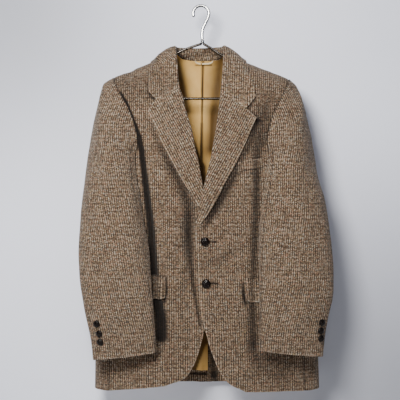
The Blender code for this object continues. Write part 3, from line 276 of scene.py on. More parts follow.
# Pockets
FLAP_WALL = 1.8
FLAP_LIFT = 2.0
FLAP_CORNER = 13.0
FLAPS = {
    # front end x, outer end x, top z at the front end, rise to the outer end, depth
    LEFT: (102.5, 221.0, -634.0, 6.0, 55.0), RIGHT: (-82.5, -200.0, -627.6, 6.0, 54.0),
}
WELT_FROM_X, WELT_TO_X = 84.0, 141.0
WELT_TOP_Z, WELT_RISE, WELT_DEPTH = -370.0, 11.0, 21.5

# Buttons: domed, on a flat back. Diameter and height
FRONT_BUTTONS = ((7.9, -549.6), (10.4, -645.4))
FRONT_BUTTON = (21.0, 8.0)
CUFF_BUTTONS = {
    LEFT: ((267.0, -727.5), (265.0, -746.0), (265.6, -764.0)),
    RIGHT: ((-232.6, -730.5), (-227.4, -752.5), (-225.6, -771.5)),
}
CUFF_BUTTON = (16.0, 6.5)

# Hanging loop: a tape across the back neck
LOOP_FROM_X, LOOP_TO_X = -16.0, 29.0
LOOP_Z, LOOP_SAG, LOOP_WIDTH, LOOP_WALL = -121.5, 6.0, 3.4, 1.2

# Hanger
HOOK_WIRE, FRAME_WIRE = 5.5, 4.5
HOOK_RADIUS = 18.5
HOOK_CENTRE_X = -1.0
HOOK_TIP_ANGLE, HOOK_STEM_ANGLE = 200.0, -14
HOOK_STEM = ((15.6, -25), (9, -39), (2.6, -54), (1.2, -68), (2.0, -77.5))
FERRULE_TOP_Z, FERRULE_HEIGHT, FERRULE_DIAMETER = -78.0, 7.4, 8.4
FERRULE_COILS, COIL_RADIUS = 3, 1.1
APEX_X = 2.2
ARM_VISIBLE = {
    # from the ferrule to where the arm goes under the shoulder
    LEFT: ((5.2, -87.6), (25, -99.5), (47.4, -114)),
    RIGHT: ((-0.8, -87.6), (-25, -95.6), (-50, -105.6)),
}
# Square to the sloping ridge, measured straight down
ARM_BELOW_RIDGE = 1.32 * (TWEED + LINING_GAP + LINING + LAID_GAP + FRAME_WIRE / 2)
ARM_UNDER_FROM, ARM_UNDER_TO, ARM_UNDER_STEPS = 68.0, 172.0, 7
BAR_Z = -216.0
FRAME_CORNER_STEPS = 6

# Looks
FACING_WIDTH, HEM_TURN, SLEEVE_LINED_FROM = 92.0, 30.0, -560.0
PLEAT_WIDTH, PLEAT_DEPTH = 2.6, -3.0
SEAM_DIP = 0.9
# The most painted shade, 0 to 1, that any point gets
MOST_PAINTED_SHADE = 0.95
LAPEL_BULGE, COLLAR_BULGE, LAPEL_LEAN = 0.8, 0.5, -28
BUTTON_STRIPS = 3.4
WIRE_SIDES, WIRE_PLATING = 20, 0.8
LOOP_LIFT = 4.0
PICK_INSET, PICK_SPACING = 2.4, 4.2
BUTTONHOLE_LENGTH = 28.0
TWEED_DARKEST, TWEED_DARK, TWEED_MID = "#382d25", "#524336", "#887561"
TWEED_LIGHT, TWEED_CREAM = "#c3b09c", "#f6ecdc"
TWEED_RUST, TWEED_OCHRE, TWEED_PINK, TWEED_GREEN = "#94705d", "#8f8262", "#967c71", "#787a76"
RIB_SHARE, BAR_SHARE, DYE_SHARE, WEAR_AND_PAINTED_LIGHT_SHARE = 0.42, 0.13, 0.7, 0.4
# The pieces' tones, lighter and darker copies of one tweed: the body's darker tone is painted shade of
# its set-back panels, and the collar's paler tone is painted light
BODY_TONE, SLEEVE_TONE = "#a09993", "#a39d98"
LAPEL_TONE, COLLAR_TONE = "#a39d97", "#a9a29b"
LINING_DARK, LINING_MID, LINING_LIGHT = "#d8aa60", "#eabe71", "#f6cf85"
# The colours that painted shade darkens the tweed and the lining towards
TWEED_PAINTED_SHADE_COLOUR, LINING_PAINTED_SHADE_COLOUR = "#2c1e15", "#3c3228"
BROWN_SILK, DARK_TWIST = ("#5a4738", "#8a745f"), ("#2b2019", "#4a382c")
CREAM_THREAD = ("#b7a684", "#e0d2b2")
LEATHER_DARK, LEATHER_BROWN = "#060403", "#120b09"
CHROME_DARK, CHROME_BRIGHT = "#3c3e42", "#e2e4e6"
STEEL_DARK, STEEL_PALE = "#12100e", "#524d49"
TAPE_SHADE, TAPE_CREAM = "#bca884", "#e2d3b0"
WALL_PALE, WALL_SHADE = "#e8eeff", "#e4eafc"
# Painted shade towards two corners of the wall: x, z, reach, darkest level
WALL_PAINTED_SHADE_CORNERS = ((-0.494, 0.035, 0.62, 0.5), (0.487, -0.945, 0.75, 0.45))
FLOOR_PALE, FLOOR_SHADE = "#e6e4e0", "#dcdad6"

# Stage, in metres
JACKET_MIDDLE = (0.0, 0.0, -0.45)
WALL_Y, FLOOR_Z = 0.082, -1.15
ROOM_TINT, ROOM_STRENGTH = "#dfe4f6", 0.13
LIGHTS = (
    # name, place, size, power, tint
    ("key", (-0.3665, -1.3677, 0.18), 0.55, 46, "#fffaf2"),
    ("fill", (1.2, -2.6, -0.2), 1.6, 3, "#f2f5ff"), ("back", (0.8, 2.6, 0.9), 2.0, 40, "#ffffff"),
)
CAMERA_AT, CAMERA_LENS_MM = (-0.0035, -2.015, -0.4552), 77.0

# How much finer than the solids the cloth is, down and across, and how its edges round
BODY_DOWN, BODY_ACROSS = 12, 8
SIDE_ACROSS, BACK_ACROSS = 7, 7
SLEEVE_DOWN, SLEEVE_ACROSS = 9, 5
LAPEL_DOWN, LAPEL_ACROSS = 8, 5
COLLAR_DOWN, COLLAR_ACROSS = 6, 4
FLAP_DOWN, FLAP_ACROSS = 10, 7
EDGE_ROUND, THIN_EDGE_ROUND = 0.8, 0.3

# Smaller creases than the solids hold, on the body: a trough (depth below 0) or ridge along a line
CREASES = (
    # x0, z0, x1, z1, half_width, depth: in front
    array_of(
        (-36, -500, -30, -600, 7, -1.7), (-26, -560, -36, -676, 6, -1.3),
        (-52, -470, -44, -640, 9, 1.1), (-70, -396, -36, -462, 9, -1.6), (-54, -380, -22, -440, 8, 1.1),
        (14, -600, 70, -574, 6, -1.2), (24, -632, 88, -622, 9, -1), (10, -560, 56, -556, 8, 0.7),
        (126, -446, 124, -592, 3.2, -0.9), (-124, -450, -120, -592, 3.2, -0.9),
        (88, -420, 96, -540, 10, 0.9), (-90, -520, -96, -640, 11, 0.9), (60, -660, 66, -760, 9, -0.9),
        (34, -700, 44, -800, 8, 0.8), (-60, -690, -54, -800, 9, -0.9), (-110, -640, -104, -760, 8, 0.7),
        (-150, -690, -160, -860, 8, -1.3), (150, -700, 158, -870, 9, -1.2),
        (-74, -812, -60, -868, 8, 0.8), (84, -806, 72, -876, 9, 0.8), (-150, -176, -128, -262, 9, -0.9),
        (146, -178, 126, -268, 9, -1), (-134, -300, -108, -372, 8, -1), (138, -306, 112, -360, 8, -0.9),
        (-206, -171, -184, -162, 12, 2.2), (204, -171, 182, -162, 12, 2.2),
    ),
    # Behind
    array_of(
        (-206, -171, -184, -162, 12, 2.2), (204, -171, 182, -162, 12, 2.2),
        (-30, -150, -8, -250, 8, -0.9), (36, -156, 12, -246, 8, -0.9), (-150, -240, -96, -330, 9, -1.3),
        (148, -250, 92, -322, 9, -1.2), (-172, -330, -120, -400, 8, -1.2),
        (168, -336, 116, -412, 8, -1.3), (-30, -300, -34, -470, 11, 0.9), (34, -310, 28, -450, 10, 0.9),
        (-88, -470, -92, -640, 9, -1.1), (86, -480, 94, -650, 9, -1.2),
        (-150, -480, -156, -640, 9, 0.9), (150, -470, 154, -620, 10, 0.9), (-30, -640, -36, -880, 9, 1),
        (44, -650, 52, -886, 10, 0.9), (-104, -690, -112, -890, 8, -1.1),
        (108, -700, 116, -890, 8, -1.2), (-176, -640, -188, -880, 8, -0.9),
        (178, -640, 186, -880, 8, -0.9),
    ),
)
# Hollows of the fronts, each along its points: beside the sleeves, under the edges of the lapels and the
# collar, beside the flaps, and where the fronts meet. Their last column is painted shade: the cloth is
# painted darker where shadow falls in them, and on the buttonholes' slits and over one shoulder, where
# there is no hollow.
HOLLOWS_AND_PAINTED_SHADE = (
    # x, z, half_width, depth, painted_shade
    (
        (-188, -204, 3, -0.5, 0.6), (-172, -235, 4, -0.5, 1.8), (-158, -273, 4.5, -0.5, 2.8),
        (-143, -312, 5, -1, 3.2), (-137, -342, 5, -2, 3.2), (-130, -398, 5.5, -5, 3.2),
        (-123, -455, 6, -8, 3.2), (-114, -535, 6.5, -9, 3.2), (-108, -610, 6.5, -9, 3),
        (-102, -678, 8, -9, 2.6), (-93, -724, 11, -9, 2.2), (-91, -768, 11, -8, 2.2),
        (-90, -779, 10, -4, 0.6),
    ),
    (
        (158, -218, 15, -3, 0.3), (147, -255, 20, -8, 0.6), (138, -308, 18, -9, 0.65),
        (128, -352, 12, -7, 0.75), (127, -395, 9, -7, 0.8), (125, -535, 9, -7, 0.72),
        (121, -620, 9, -6.5, 0.65), (117, -690, 10, -7, 0.75), (119, -782, 12, -7, 0.8),
    ),
    (
        (121, -190, 4, -1.5, 0.3), (123, -228, 4, -2.5, 0.45), (112, -240, 4.5, -3, 0.6),
        (104, -247, 4, -3, 0.8), (114, -254, 3.5, -2.5, 0.6), (130, -271, 6, -4, 0.6),
        (112, -320, 8, -5, 0.65), (90, -368, 9, -5.5, 0.7), (64, -420, 11, -7, 0.85),
        (40, -462, 12, -7.5, 0.9), (16, -502, 10, -6.5, 0.85), (4, -522, 6, -3, 0.4),
    ),
    (
        (-124, -160, 4, -1, 0.15), (-124, -204, 4, -2, 0.35), (-112, -222, 4.5, -3, 0.7),
        (-104, -226, 4, -3, 0.7),
    ),
    (
        (-129, -256, 4, -1.5, 0.2), (-99, -322, 8, -3, 0.45), (-73, -374, 11, -6, 0.75),
        (-46, -422, 12, -7, 0.75), (-28, -470, 12, -7.5, 0.75), (-30, -530, 12, -8, 0.95),
        (-27, -570, 10, -7, 0.8), (-21, -640, 6, -4.5, 0.8), (-14, -680, 4, -2.5, 0.8),
        (-4, -742, 3, -1, 0.8),
    ),
    ((-82, -630, 3, -3, 0.8), (-81, -660, 4, -4, 1.3), (-84, -686, 4, -4, 1)),
    ((-112, -694, 6, -4, 1.6), (-92, -692, 4, -3, 0.9)),
    ((95, -644, 3, -3, 0.8), (95.5, -672, 3.5, -3.5, 1.3), (101, -694, 3.5, -4, 1)),
    ((16, -549, 1.5, 0, 1.1), (33, -550, 1.5, 0, 1.1)),
    ((18, -644.5, 1.5, 0, 1.1), (37, -645.5, 1.5, 0, 1.1)),
    ((14, -606, 8, -2.5, 0.25), (44, -596, 11, -4, 0.35), (82, -574, 8, -2, 0.1)),
    ((-150, -806, 12, -2, 0.2), (-96, -800, 12, -3, 0.35)),
    ((-196, -186, 36, 0, 0.26), (-130, -200, 32, 0, 0.26)),
    ((118, -800, 13, -5, 0.6), (136, -830, 22, -4, 0.5), (185, -850, 34, -1, 0.4)),
)
HOLLOWS_AND_PAINTED_SHADE = [array_of(*points) for points in HOLLOWS_AND_PAINTED_SHADE]
# Where the pads lift the shoulders beside the collar, in front and behind
SHOULDER_RISES = array_of(
    # x0, z0, x1, z1, half_width, height
    (-150, -151, -117, -139, 10, 3.2), (156, -148, 130, -138, 17, 2.4),
)
# Small creases of the sleeves, on the front and behind
SLEEVE_CREASES = {
    # x0, z0, x1, z1, half_width, depth
    LEFT: array_of(
        (176, -250, 206, -330, 8, -1), (236, -250, 226, -350, 9, 0.9), (150, -400, 178, -452, 7, -1.5),
        (146, -440, 172, -500, 7, 1.1), (270, -400, 252, -450, 8, -1), (284, -470, 256, -520, 7, -1.1),
        (150, -500, 186, -552, 7, -1.5), (144, -590, 176, -616, 7, -1.1),
        (286, -576, 252, -614, 7, -1.4), (282, -620, 240, -652, 7, -1.1),
        (170, -640, 196, -676, 8, 0.8), (262, -680, 236, -716, 7, -0.9), (160, -700, 166, -792, 8, 0.8),
        (236, -730, 232, -800, 7, -0.8),
    ),
    RIGHT: array_of(
        (-174, -246, -204, -330, 8, -1), (-238, -256, -228, -352, 9, 0.9),
        (-146, -392, -172, -446, 7, -1.5), (-140, -436, -166, -496, 7, 1.1),
        (-262, -392, -244, -444, 8, -1), (-268, -462, -242, -512, 7, -1.1),
        (-136, -500, -172, -548, 7, -1.5), (-128, -580, -160, -606, 7, -1.1),
        (-268, -566, -232, -604, 7, -1.4), (-262, -616, -220, -650, 7, -1.1),
        (-150, -640, -176, -676, 8, 0.8), (-236, -676, -210, -712, 7, -0.9),
        (-128, -700, -136, -800, 8, 0.8), (-206, -730, -200, -806, 7, -0.8),
    ),
}
# Wrinkles of the lining, which is cut looser than the back it lines
LINING_WRINKLES = array_of(
    # x0, z0, x1, z1, half_width, depth
    (34, -136, 44, -200, 5, -1.2), (44, -140, 58, -190, 4, 1), (26, -150, 34, -230, 4, 0.9),
    (22, -220, 16, -360, 5, -1.3), (34, -230, 26, -350, 5, 1.1), (12, -250, 10, -380, 4, 0.8),
    (-20, -200, -16, -340, 7, -0.9), (-40, -150, -30, -240, 8, 0.8), (-60, -300, -50, -520, 9, 1),
    (70, -300, 60, -540, 9, -1.1), (-30, -500, -36, -760, 8, -1.1), (40, -520, 46, -760, 9, 1),
    (-20, -740, -24, -866, 6, 0.9), (2, -760, 6, -866, 5, -0.9),
)
# How far the sleeves' front edges draw back from the fronts, by height
SLEEVE_TUCK = {
    RIGHT: ((-810, 0), (-690, 0.5), (-614, 4), (-535, 6), (-455, 8), (-398, 6.5), (-350, 1), (-300, 0)),
    LEFT: ((-800, 0), (-300, 0)),
}
# Painted shade on the lining, where shadow falls: beside its pleat, at the sides, under the hanging loop,
# and low down behind the vent
LINING_PAINTED_SHADE = array_of(
    # x0, z0, x1, z1, half_width, painted_shade
    (4, -122, -1, -350, 2, 1.2), (-58, -122, -34, -240, 10, 0.7), (48, -122, 26, -330, 25, 0.72),
    (28, -250, 14, -400, 20, 0.26), (0, -122, 0, -180, 60, 0.38), (-14, -130, 24, -130, 1.6, 0.5),
    (1, -270, 1, -392, 2.6, 1), (-24, -302, 0, -372, 4.5, 0.9), (0, -376, 3, -412, 9, 1.3),
    (-60, -760, 60, -760, 84, 0.9), (10, -770, 10, -790, 9, 0.9), (10, -775, -20, -870, 5.5, 2),
)
# Painted shade on the tweed inside the back, under the lining and beside the vent, and on the collar, on
# its stand and on its fall, where they lie in shadow
BACK_PAINTED_SHADE = array_of(
    (-60, -876, 12, -876, 2.5, 1.4), (24, -800, 30, -872, 12, 0.7), (30, -880, 36, -896, 8, 0.8)
)
STAND_PAINTED_SHADE = array_of((-58, -108, -50, -136, 10, 0.9), (46, -112, 50, -132, 8, 0.4))
FALL_PAINTED_SHADE = array_of((-116, -150, -86, -200, 34, 0.28))
# Slow waves that keep any stretch of cloth from lying dead flat: x and z wavelengths, phase, height
WAVES = ((171, 260, 0.4, 0.5), (97, -143, 2.1, 0.32), (-61, 88, 4.0, 0.2), (37, 49, 1.2, 0.1))


# Curves and tables


def even(count):
    """This many numbers, evenly from 0 to 1."""
    return np.linspace(0, 1, count)


def eased(amount):
    """0 to 1 with a soft start and end."""
    amount = np.clip(amount, 0, 1)
    return amount * amount * (3 - 2 * amount)


def between(values, slopes, index, part, step=1.0):
    """A smooth curve's values, part of the way from the value at each index to the next one."""
    square, cube = part**2, part**3
    return (
        (2 * cube - 3 * square + 1) * values[index]
        + (cube - 2 * square + part) * step * slopes[index]
        + (3 * square - 2 * cube) * values[index + 1]
        + (cube - square) * step * slopes[index + 1]
    )


def smooth_table(rows, at, column):
    """A table's column at these values of its first column, on a smooth curve through its rows."""
    order = np.argsort(rows[:, 0])
    keys, values = rows[order, 0], rows[order, column]
    at = np.clip(at, keys[0], keys[-1])
    index = np.clip(np.searchsorted(keys, at) - 1, 0, len(keys) - 2)
    step = keys[index + 1] - keys[index]
    return between(values, np.gradient(values, keys), index, (at - keys[index]) / step, step)


def along(points, counts):
    """Points on a smooth curve through these, at this many even steps or at given parts of it."""
    points = np.asarray(points, float)
    parts = even(counts) if np.isscalar(counts) else np.asarray(counts)
    lengths = np.concatenate([[0], np.cumsum(np.linalg.norm(np.diff(points, axis=0), axis=1))])
    rows = np.column_stack([lengths / lengths[-1], points])
    return np.stack([smooth_table(rows, parts, axis + 1) for axis in range(points.shape[1])], -1)


def unit(vectors):
    return vectors / np.maximum(np.linalg.norm(vectors, axis=-1, keepdims=True), 1e-9)


def lerp(start, end, part):
    return start + (end - start) * part


# The body's surface


def reach_to_angle(reach, behind):
    """The angle round the body, 0 at centre front and 180 at centre back, + on the wearer's left."""
    part = np.arcsin(np.clip(np.abs(reach), 0, 1) ** (BODY_POWER / 2))
    part = np.where(behind, math.pi - part, part)
    return np.where(np.asarray(reach) < 0, -part, part)


def angle_to_reach(angle):
    return np.sign(np.sin(angle)) * np.abs(np.sin(angle)) ** (2 / BODY_POWER)


def ring_sizes(z):
    return (smooth_table(BODY_RINGS, z, column) for column in (1, 2, 3, 4))


def shoulder(angle):
    """The ridge's height above this angle, and how far below it the surface is fully deep."""
    reach = angle_to_reach(angle)
    ridge = smooth_table(RIDGE, RIDGE_REACH_WIDTH * reach, 1)
    front, back = (smooth_table(SHOULDER_ROUND, np.abs(reach), column) for column in (1, 2))
    return ridge, np.where(np.cos(angle) > 0, front, back)


def run_at(angle, z):
    """The run down from the ridge at which the surface reaches this height."""
    ridge, rounding = shoulder(angle)
    drop = np.maximum(ridge - z, 0)
    turn = np.arccos(np.clip(1 - drop / rounding, 0, 1))
    return np.where(drop < rounding, rounding * turn, rounding * math.pi / 2 + drop - rounding)


def plain_body(angle, run):
    """The body's surface without its folds."""
    ridge, rounding = shoulder(angle)
    turn = np.clip(run / rounding, 0, math.pi / 2)
    z = ridge - rounding * (1 - np.cos(turn)) - np.maximum(run - rounding * math.pi / 2, 0)
    centre, half_width, front, back = ring_sizes(z)
    depth = np.where(np.cos(angle) > 0, front, back)
    outward = -np.sign(np.cos(angle)) * np.abs(np.cos(angle)) ** (2 / BODY_POWER)
    x = centre + half_width * angle_to_reach(angle)
    return np.stack([x, depth * outward * np.sin(turn), z], -1)


def normals_of(surface, angle, run):
    """A surface's outward normals, from its points a little to each side."""
    step_angle, step_run = 2e-3, 0.4
    across = surface(angle + step_angle, run) - surface(angle - step_angle, run)
    down = surface(angle, run + step_run) - surface(angle, run - step_run)
    return unit(np.cross(down, across))


def beside(x, z, x0, z0, x1, z1):
    """Which part along a straight line is nearest to x and z, and how far from it they are."""
    run_x, run_z = x1 - x0, z1 - z0
    part = np.clip(((x - x0) * run_x + (z - z0) * run_z) / (run_x**2 + run_z**2), 0, 1)
    return part, np.hypot(x - x0 - part * run_x, z - z0 - part * run_z)


def line_strength(folds, x, z):
    """The sum of soft troughs and ridges along straight lines."""
    total = np.zeros_like(x)
    for *line, half_width, depth in folds:
        _, away = beside(x, z, *line)
        total = total + depth * np.exp(-((away / half_width) ** 2))
    return total


def tuck(x, z):
    """How far the right front is pressed in where the left one lies over it."""
    across = eased((x - TUCK_FROM_X) / (TUCK_FULL_X - TUCK_FROM_X))
    starts = eased((TUCK_TOP_Z - z) / (TUCK_TOP_Z - TUCK_FULL_Z))
    ends = 1 - eased((TUCK_END_Z - z) / (TUCK_END_Z - TUCK_GONE_Z))
    return TUCK_DEPTH * across * starts * ends


def underlap(x, z):
    """How far the right back's underlap lies inside the left back."""
    across = eased((x + 16) / 14)
    return UNDERLAP_STEP * across * eased((VENT_TOP_Z + 82 - z) / 25)


def angle_at(x, z, behind):
    """The angle round the body where a view from the front shows x and z."""
    centre, half_width, _, _ = ring_sizes(z)
    return reach_to_angle((x - centre) / half_width, behind)


def place(surface, x, z, behind=False, level=0.0):
    """Points and normals of a surface where a view from the front shows x and z."""
    x, z = np.broadcast_arrays(np.asarray(x, float), np.asarray(z, float))
    angle = angle_at(x, z, behind)
    run = run_at(angle, z)
    normals = normals_of(surface, angle, run)
    return surface(angle, run) + normals * np.asarray(level)[..., None], normals


def grid_normals(grid, around=False):
    """Normals of a grid of points, from its neighbours, wrapping round its columns for a tube."""
    across = np.roll(grid, -1, 1) - np.roll(grid, 1, 1) if around else np.gradient(grid, axis=1)
    return unit(np.cross(np.gradient(grid, axis=0), across))


def facing_out(normals):
    """These normals, turned where need be so that they face the front."""
    return normals if np.mean(normals[..., 1]) < 0 else -normals


# Finer surfaces


def waver(x, z):
    total = np.zeros_like(x)
    for across, down, phase, height in WAVES:
        total = total + height * np.sin(2 * math.pi * (x / across + z / down) + phase)
    return total


def hollow(x, z, column=3):
    """How deep the hollows of the fronts are, or with column 4 how much painted shade they hold."""
    total = np.zeros_like(x)
    for points in HOLLOWS_AND_PAINTED_SHADE:
        strongest = np.zeros_like(x)
        for start, end in zip(points[:-1], points[1:]):
            part, away = beside(x, z, *start[:2], *end[:2])
            here = lerp(start[column], end[column], part)
            here = here * np.exp(-((away / lerp(start[2], end[2], part)) ** 2))
            strongest = np.where(np.abs(here) > np.abs(strongest), here, strongest)
        total = total + strongest
    return np.minimum(total, 0.98)


def body_surface(extra=None, wrinkles=None, creased=True, hollowed=False):
    """The body's surface with folds and creases, and pressed in by a function where given."""
    tables = (FOLDS, CREASES) if creased else (FOLDS,)

    def surface(angle, run):
        points = plain_body(angle, run)
        behind = np.cos(angle) < 0
        x, z = points[..., 0], points[..., 2]
        shift = waver(x, z) if creased else np.zeros_like(x)
        for half in (0, 1):
            for table in tables:
                shift += np.where(behind == bool(half), line_strength(table[half], x, z), 0)
        shift += line_strength(SHOULDER_RISES, x, z)
        if wrinkles is not None:
            shift += line_strength(wrinkles, x, z)
        if hollowed:
            shift += np.where(behind, 0, hollow(x, z))
        shift *= np.abs(np.cos(angle)) ** 0.5
        if extra is not None:
            shift = shift - extra(x, z)
        return points + normals_of(plain_body, angle, run) * shift[..., None]

    return surface


SURFACES = {
    "smooth": body_surface(creased=False), "plain": body_surface(), "under_lapel_left": body_surface(),
    "under_lapel_right": body_surface(tuck), "front_left": body_surface(hollowed=True),
    "front_right": body_surface(tuck, hollowed=True), "back_left": body_surface(),
    "back_right": body_surface(underlap), "lining_left": body_surface(None, LINING_WRINKLES),
    "lining_right": body_surface(underlap, LINING_WRINKLES),
}


def finer(values, times, axis=0, wrap=False):
    """A grid with more rows or columns, on smooth curves through its own."""
    values = np.moveaxis(np.asarray(values, float), axis, 0)
    count = len(values)
    if wrap:
        padded = np.concatenate([values[-1:], values, values[:2]])
        slopes = np.gradient(padded, axis=0)[1:-1]
        values = padded[1:-1]
        count += 1
    else:
        slopes = np.gradient(values, axis=0)
    at = np.linspace(0, count - 1, (count - 1) * times + 1)
    index = np.minimum(at.astype(int), count - 2)
    part = (at - index).reshape(-1, *[1] * (values.ndim - 1))
    return np.moveaxis(between(values, slopes, index, part), 0, axis)


def finer_grid(angle, run, down, across):
    """A finer grid of angles, read on across centre back, and of runs."""
    angle = np.unwrap(np.unwrap(angle, axis=1), axis=0)
    angle, run = (finer(finer(values, down), across, 1) for values in (angle, run))
    return (angle + math.pi) % (2 * math.pi) - math.pi, np.maximum(run, SEAM_GAP)


# The body's half width and depth where the cloth's grain is measured round it
GIRTH_WIDTH, GIRTH_DEPTH = 240, 66


def girth_table():
    """The way round the body from centre front, by angle."""
    angles = np.linspace(0, math.pi, 721)
    x = GIRTH_WIDTH * angle_to_reach(angles)
    y = -GIRTH_DEPTH * np.sign(np.cos(angles)) * np.abs(np.cos(angles)) ** (2 / BODY_POWER)
    steps = np.hypot(np.diff(x), np.diff(y))
    return angles, np.concatenate([[0], np.cumsum(steps)])


GIRTH_ANGLES, GIRTHS = girth_table()


def body_cloth(angle, run):
    """Where the straight grain of the cloth lies on the body: across and down, in millimetres."""
    ridge, rounding = shoulder(angle)
    z = plain_body(angle, run)[..., 2]
    over = run - (ridge - z) - rounding * (math.pi / 2 - 1)
    side = np.sign(np.median(angle))
    reach = np.where((angle * side < 0) & (np.cos(angle) < 0), angle * side + 2 * math.pi, angle * side)
    past = np.abs(reach) > math.pi
    across = np.interp(np.where(past, 2 * math.pi - reach, np.abs(reach)), GIRTH_ANGLES, GIRTHS)
    across = side * np.where(past, 2 * GIRTHS[-1] - across, across * np.sign(reach))
    return np.stack([across, z - np.minimum(over, 0)], -1)


# Meshes


def new_object(name, data):
    """An object at the origin, in the scene."""
    obj = bpy.data.objects.new(name, data)
    bpy.context.scene.collection.objects.link(obj)
    return obj


def plain_object(name, points, faces, uv=None, materials=(), slots=None, marks=None):
    """A smooth mesh object at the origin, with the cloth's grain as its UV map."""
    mesh = bpy.data.meshes.new(name)
    mesh.from_pydata((np.asarray(points) * MM).tolist(), [], faces)
    if uv is not None:
        layer = mesh.uv_layers.new(name="cloth")
        loops = np.empty(len(mesh.loops), np.int32)
        mesh.loops.foreach_get("vertex_index", loops)
        layer.data.foreach_set("uv", (np.asarray(uv)[loops] * MM).astype(np.float32).ravel())
    for mark, values in (marks or {}).items():
        mesh.attributes.new(mark, "FLOAT", "POINT").data.foreach_set(
            "value", np.asarray(values, np.float32)
        )
    for material in materials:
        mesh.materials.append(material)
    if slots is not None:
        mesh.polygons.foreach_set("material_index", np.asarray(slots, np.int32))
    mesh.shade_smooth()
    mesh.update()
    return new_object(name, mesh)


def grid_quads(rows, columns, start, flip):
    index = start + np.arange(rows * columns).reshape(rows, columns)
    quads = [index[:-1, :-1], index[1:, :-1], index[1:, 1:], index[:-1, 1:]]
    quads = np.stack(quads, -1).reshape(-1, 4)
    return quads[:, ::-1] if flip else quads


def rim_of(rows, columns):
    index = np.arange(rows * columns).reshape(rows, columns)
    return np.concatenate([index[0], index[1:, -1], index[-1, -2::-1], index[-2:0:-1, 0]])


def run_across(grid):
    """How far along its row each point of a grid is."""
    steps = np.linalg.norm(np.diff(grid, axis=1), axis=-1)
    return np.concatenate([np.zeros((len(grid), 1)), np.cumsum(steps, axis=1)], axis=1)


def edge_wear_and_painted_light(grid, rubbed, sunk=(), width=1.7):
    """How pale a grid's rubbed edges are, above 0, as wear and a painted highlight, and how dark the
    seams it sinks into, below, as painted shade.
    """
    down = np.linalg.norm(np.diff(grid, axis=0), axis=-1).mean(axis=1)
    from_top = np.concatenate([[0], np.cumsum(down)])[:, None] * np.ones(grid.shape[:2])
    from_first = run_across(grid)
    away = {
        "top": from_top, "low": from_top[-1:] - from_top, "first": from_first,
        "last": from_first[:, -1:] - from_first,
    }
    total = np.zeros(grid.shape[:2])
    for sides, sign in ((rubbed, 1.0), (sunk, -1.0)):
        for side in sides:
            total += sign * np.exp(-((away[side] / width) ** 2))
    return total


def cloth(
    node, slot, outer, inner, uv, outside, inside=None, inside_from=None, round_by=EDGE_ROUND,
    wear_and_painted_light=None, painted_shade=None, kind="cloth"
):
    """Makes a piece of cloth, attached to the root in place of its solid: a shell between two grids,
    rounded along its edges.
    """
    rows, columns = outer.shape[:2]
    count = rows * columns
    facing = np.cross(outer[1:, :-1] - outer[:-1, :-1], outer[:-1, 1:] - outer[:-1, :-1])
    flip = np.sum(facing * (outer - inner)[:-1, :-1]) < 0
    rim = rim_of(rows, columns)
    flat_outer, flat_inner = outer.reshape(-1, 3), inner.reshape(-1, 3)
    middle = (flat_outer[rim] + flat_inner[rim]) / 2
    along_rim = unit(np.roll(middle, -1, 0) - np.roll(middle, 1, 0))
    away = unit(np.cross(flat_outer[rim] - flat_inner[rim], along_rim))
    grid_middle = (outer + inner).reshape(-1, 3) / 2
    neighbours = np.clip(np.arange(rows), 1, rows - 2)[:, None] * columns
    neighbours = (neighbours + np.clip(np.arange(columns), 1, columns - 2)[None, :]).reshape(-1)
    toward = grid_middle[neighbours[rim]] - middle
    away = away * -np.sign(np.sum(away * toward, -1, keepdims=True))
    ring = middle + away * round_by
    points = np.concatenate([flat_outer, flat_inner, ring])
    front = grid_quads(rows, columns, 0, flip)
    back = grid_quads(rows, columns, count, not flip)
    start = 2 * count + np.arange(len(rim))
    after, next_rim = np.roll(start, -1), np.roll(rim, -1)
    upper = np.stack([rim, next_rim, after, start], -1)
    lower = np.stack([start, after, next_rim + count, rim + count], -1)
    if flip:
        upper, lower = upper[:, ::-1], lower[:, ::-1]
    faces = np.concatenate([front, back, upper, lower])
    flat_uv = uv.reshape(-1, 2)
    all_uv = np.concatenate([flat_uv, flat_uv, flat_uv[rim]])
    materials, slots = [outside], None
    if inside is not None:
        materials.append(inside)
        lined = np.ones((rows - 1, columns - 1), bool) if inside_from is None else inside_from
        slots = np.zeros(len(faces), int)
        slots[len(front) : len(front) + len(back)] = lined.reshape(-1)
    # Marks for the material: pale rubbed edges that are partly painted highlight, darker seams as painted
    # shade, and painted shade where shadow falls
    marks = {}
    for mark, values in (("wear_and_painted_light", wear_and_painted_light), ("painted_shade", painted_shade)):
        if values is not None:
            within = values[1] if isinstance(values, tuple) else values * (mark == "painted_shade")
            values = (values[0] if isinstance(values, tuple) else values).reshape(-1)
            marks[mark] = np.concatenate([values, within.reshape(-1), values[rim]])
    obj = plain_object(f"{node}_{kind}", points, faces.tolist(), all_uv, materials, slots, marks)
    finish_sheet(obj, node, slot)
    return obj


# Outlines of the pieces


def armhole(side, angle_key):
    """The armhole's point at a key angle, as an angle round the body and a height."""
    reach, z, behind = ARMHOLE[angle_key % 360]
    angle = float(reach_to_angle(side * reach, behind))
    if z is None:
        z = float(shoulder(np.array(angle))[0])
    return angle, z


def side_seam(side, z, behind):
    reach = float(smooth_table(SIDE_SEAMS, np.array(float(z)), 2 if behind else 1))
    return float(reach_to_angle(side * reach, behind))


def outline_rows(side, behind):
    """The angle and height of each row's outer end, down the armhole and then the side seam."""
    if behind:
        keys = sorted(key for key in ARMHOLE if 90 <= key <= BACK_SEAM_ANGLE)
    else:
        keys = [key for key in ARMHOLE if key <= 90 or key >= FRONT_SEAM_ANGLE]
        keys.sort(key=lambda key: (90 - key) % 360)
    rows = [armhole(side, key) for key in keys]
    return rows + [(side_seam(side, z, behind), z) for z in LOWER_ROWS]


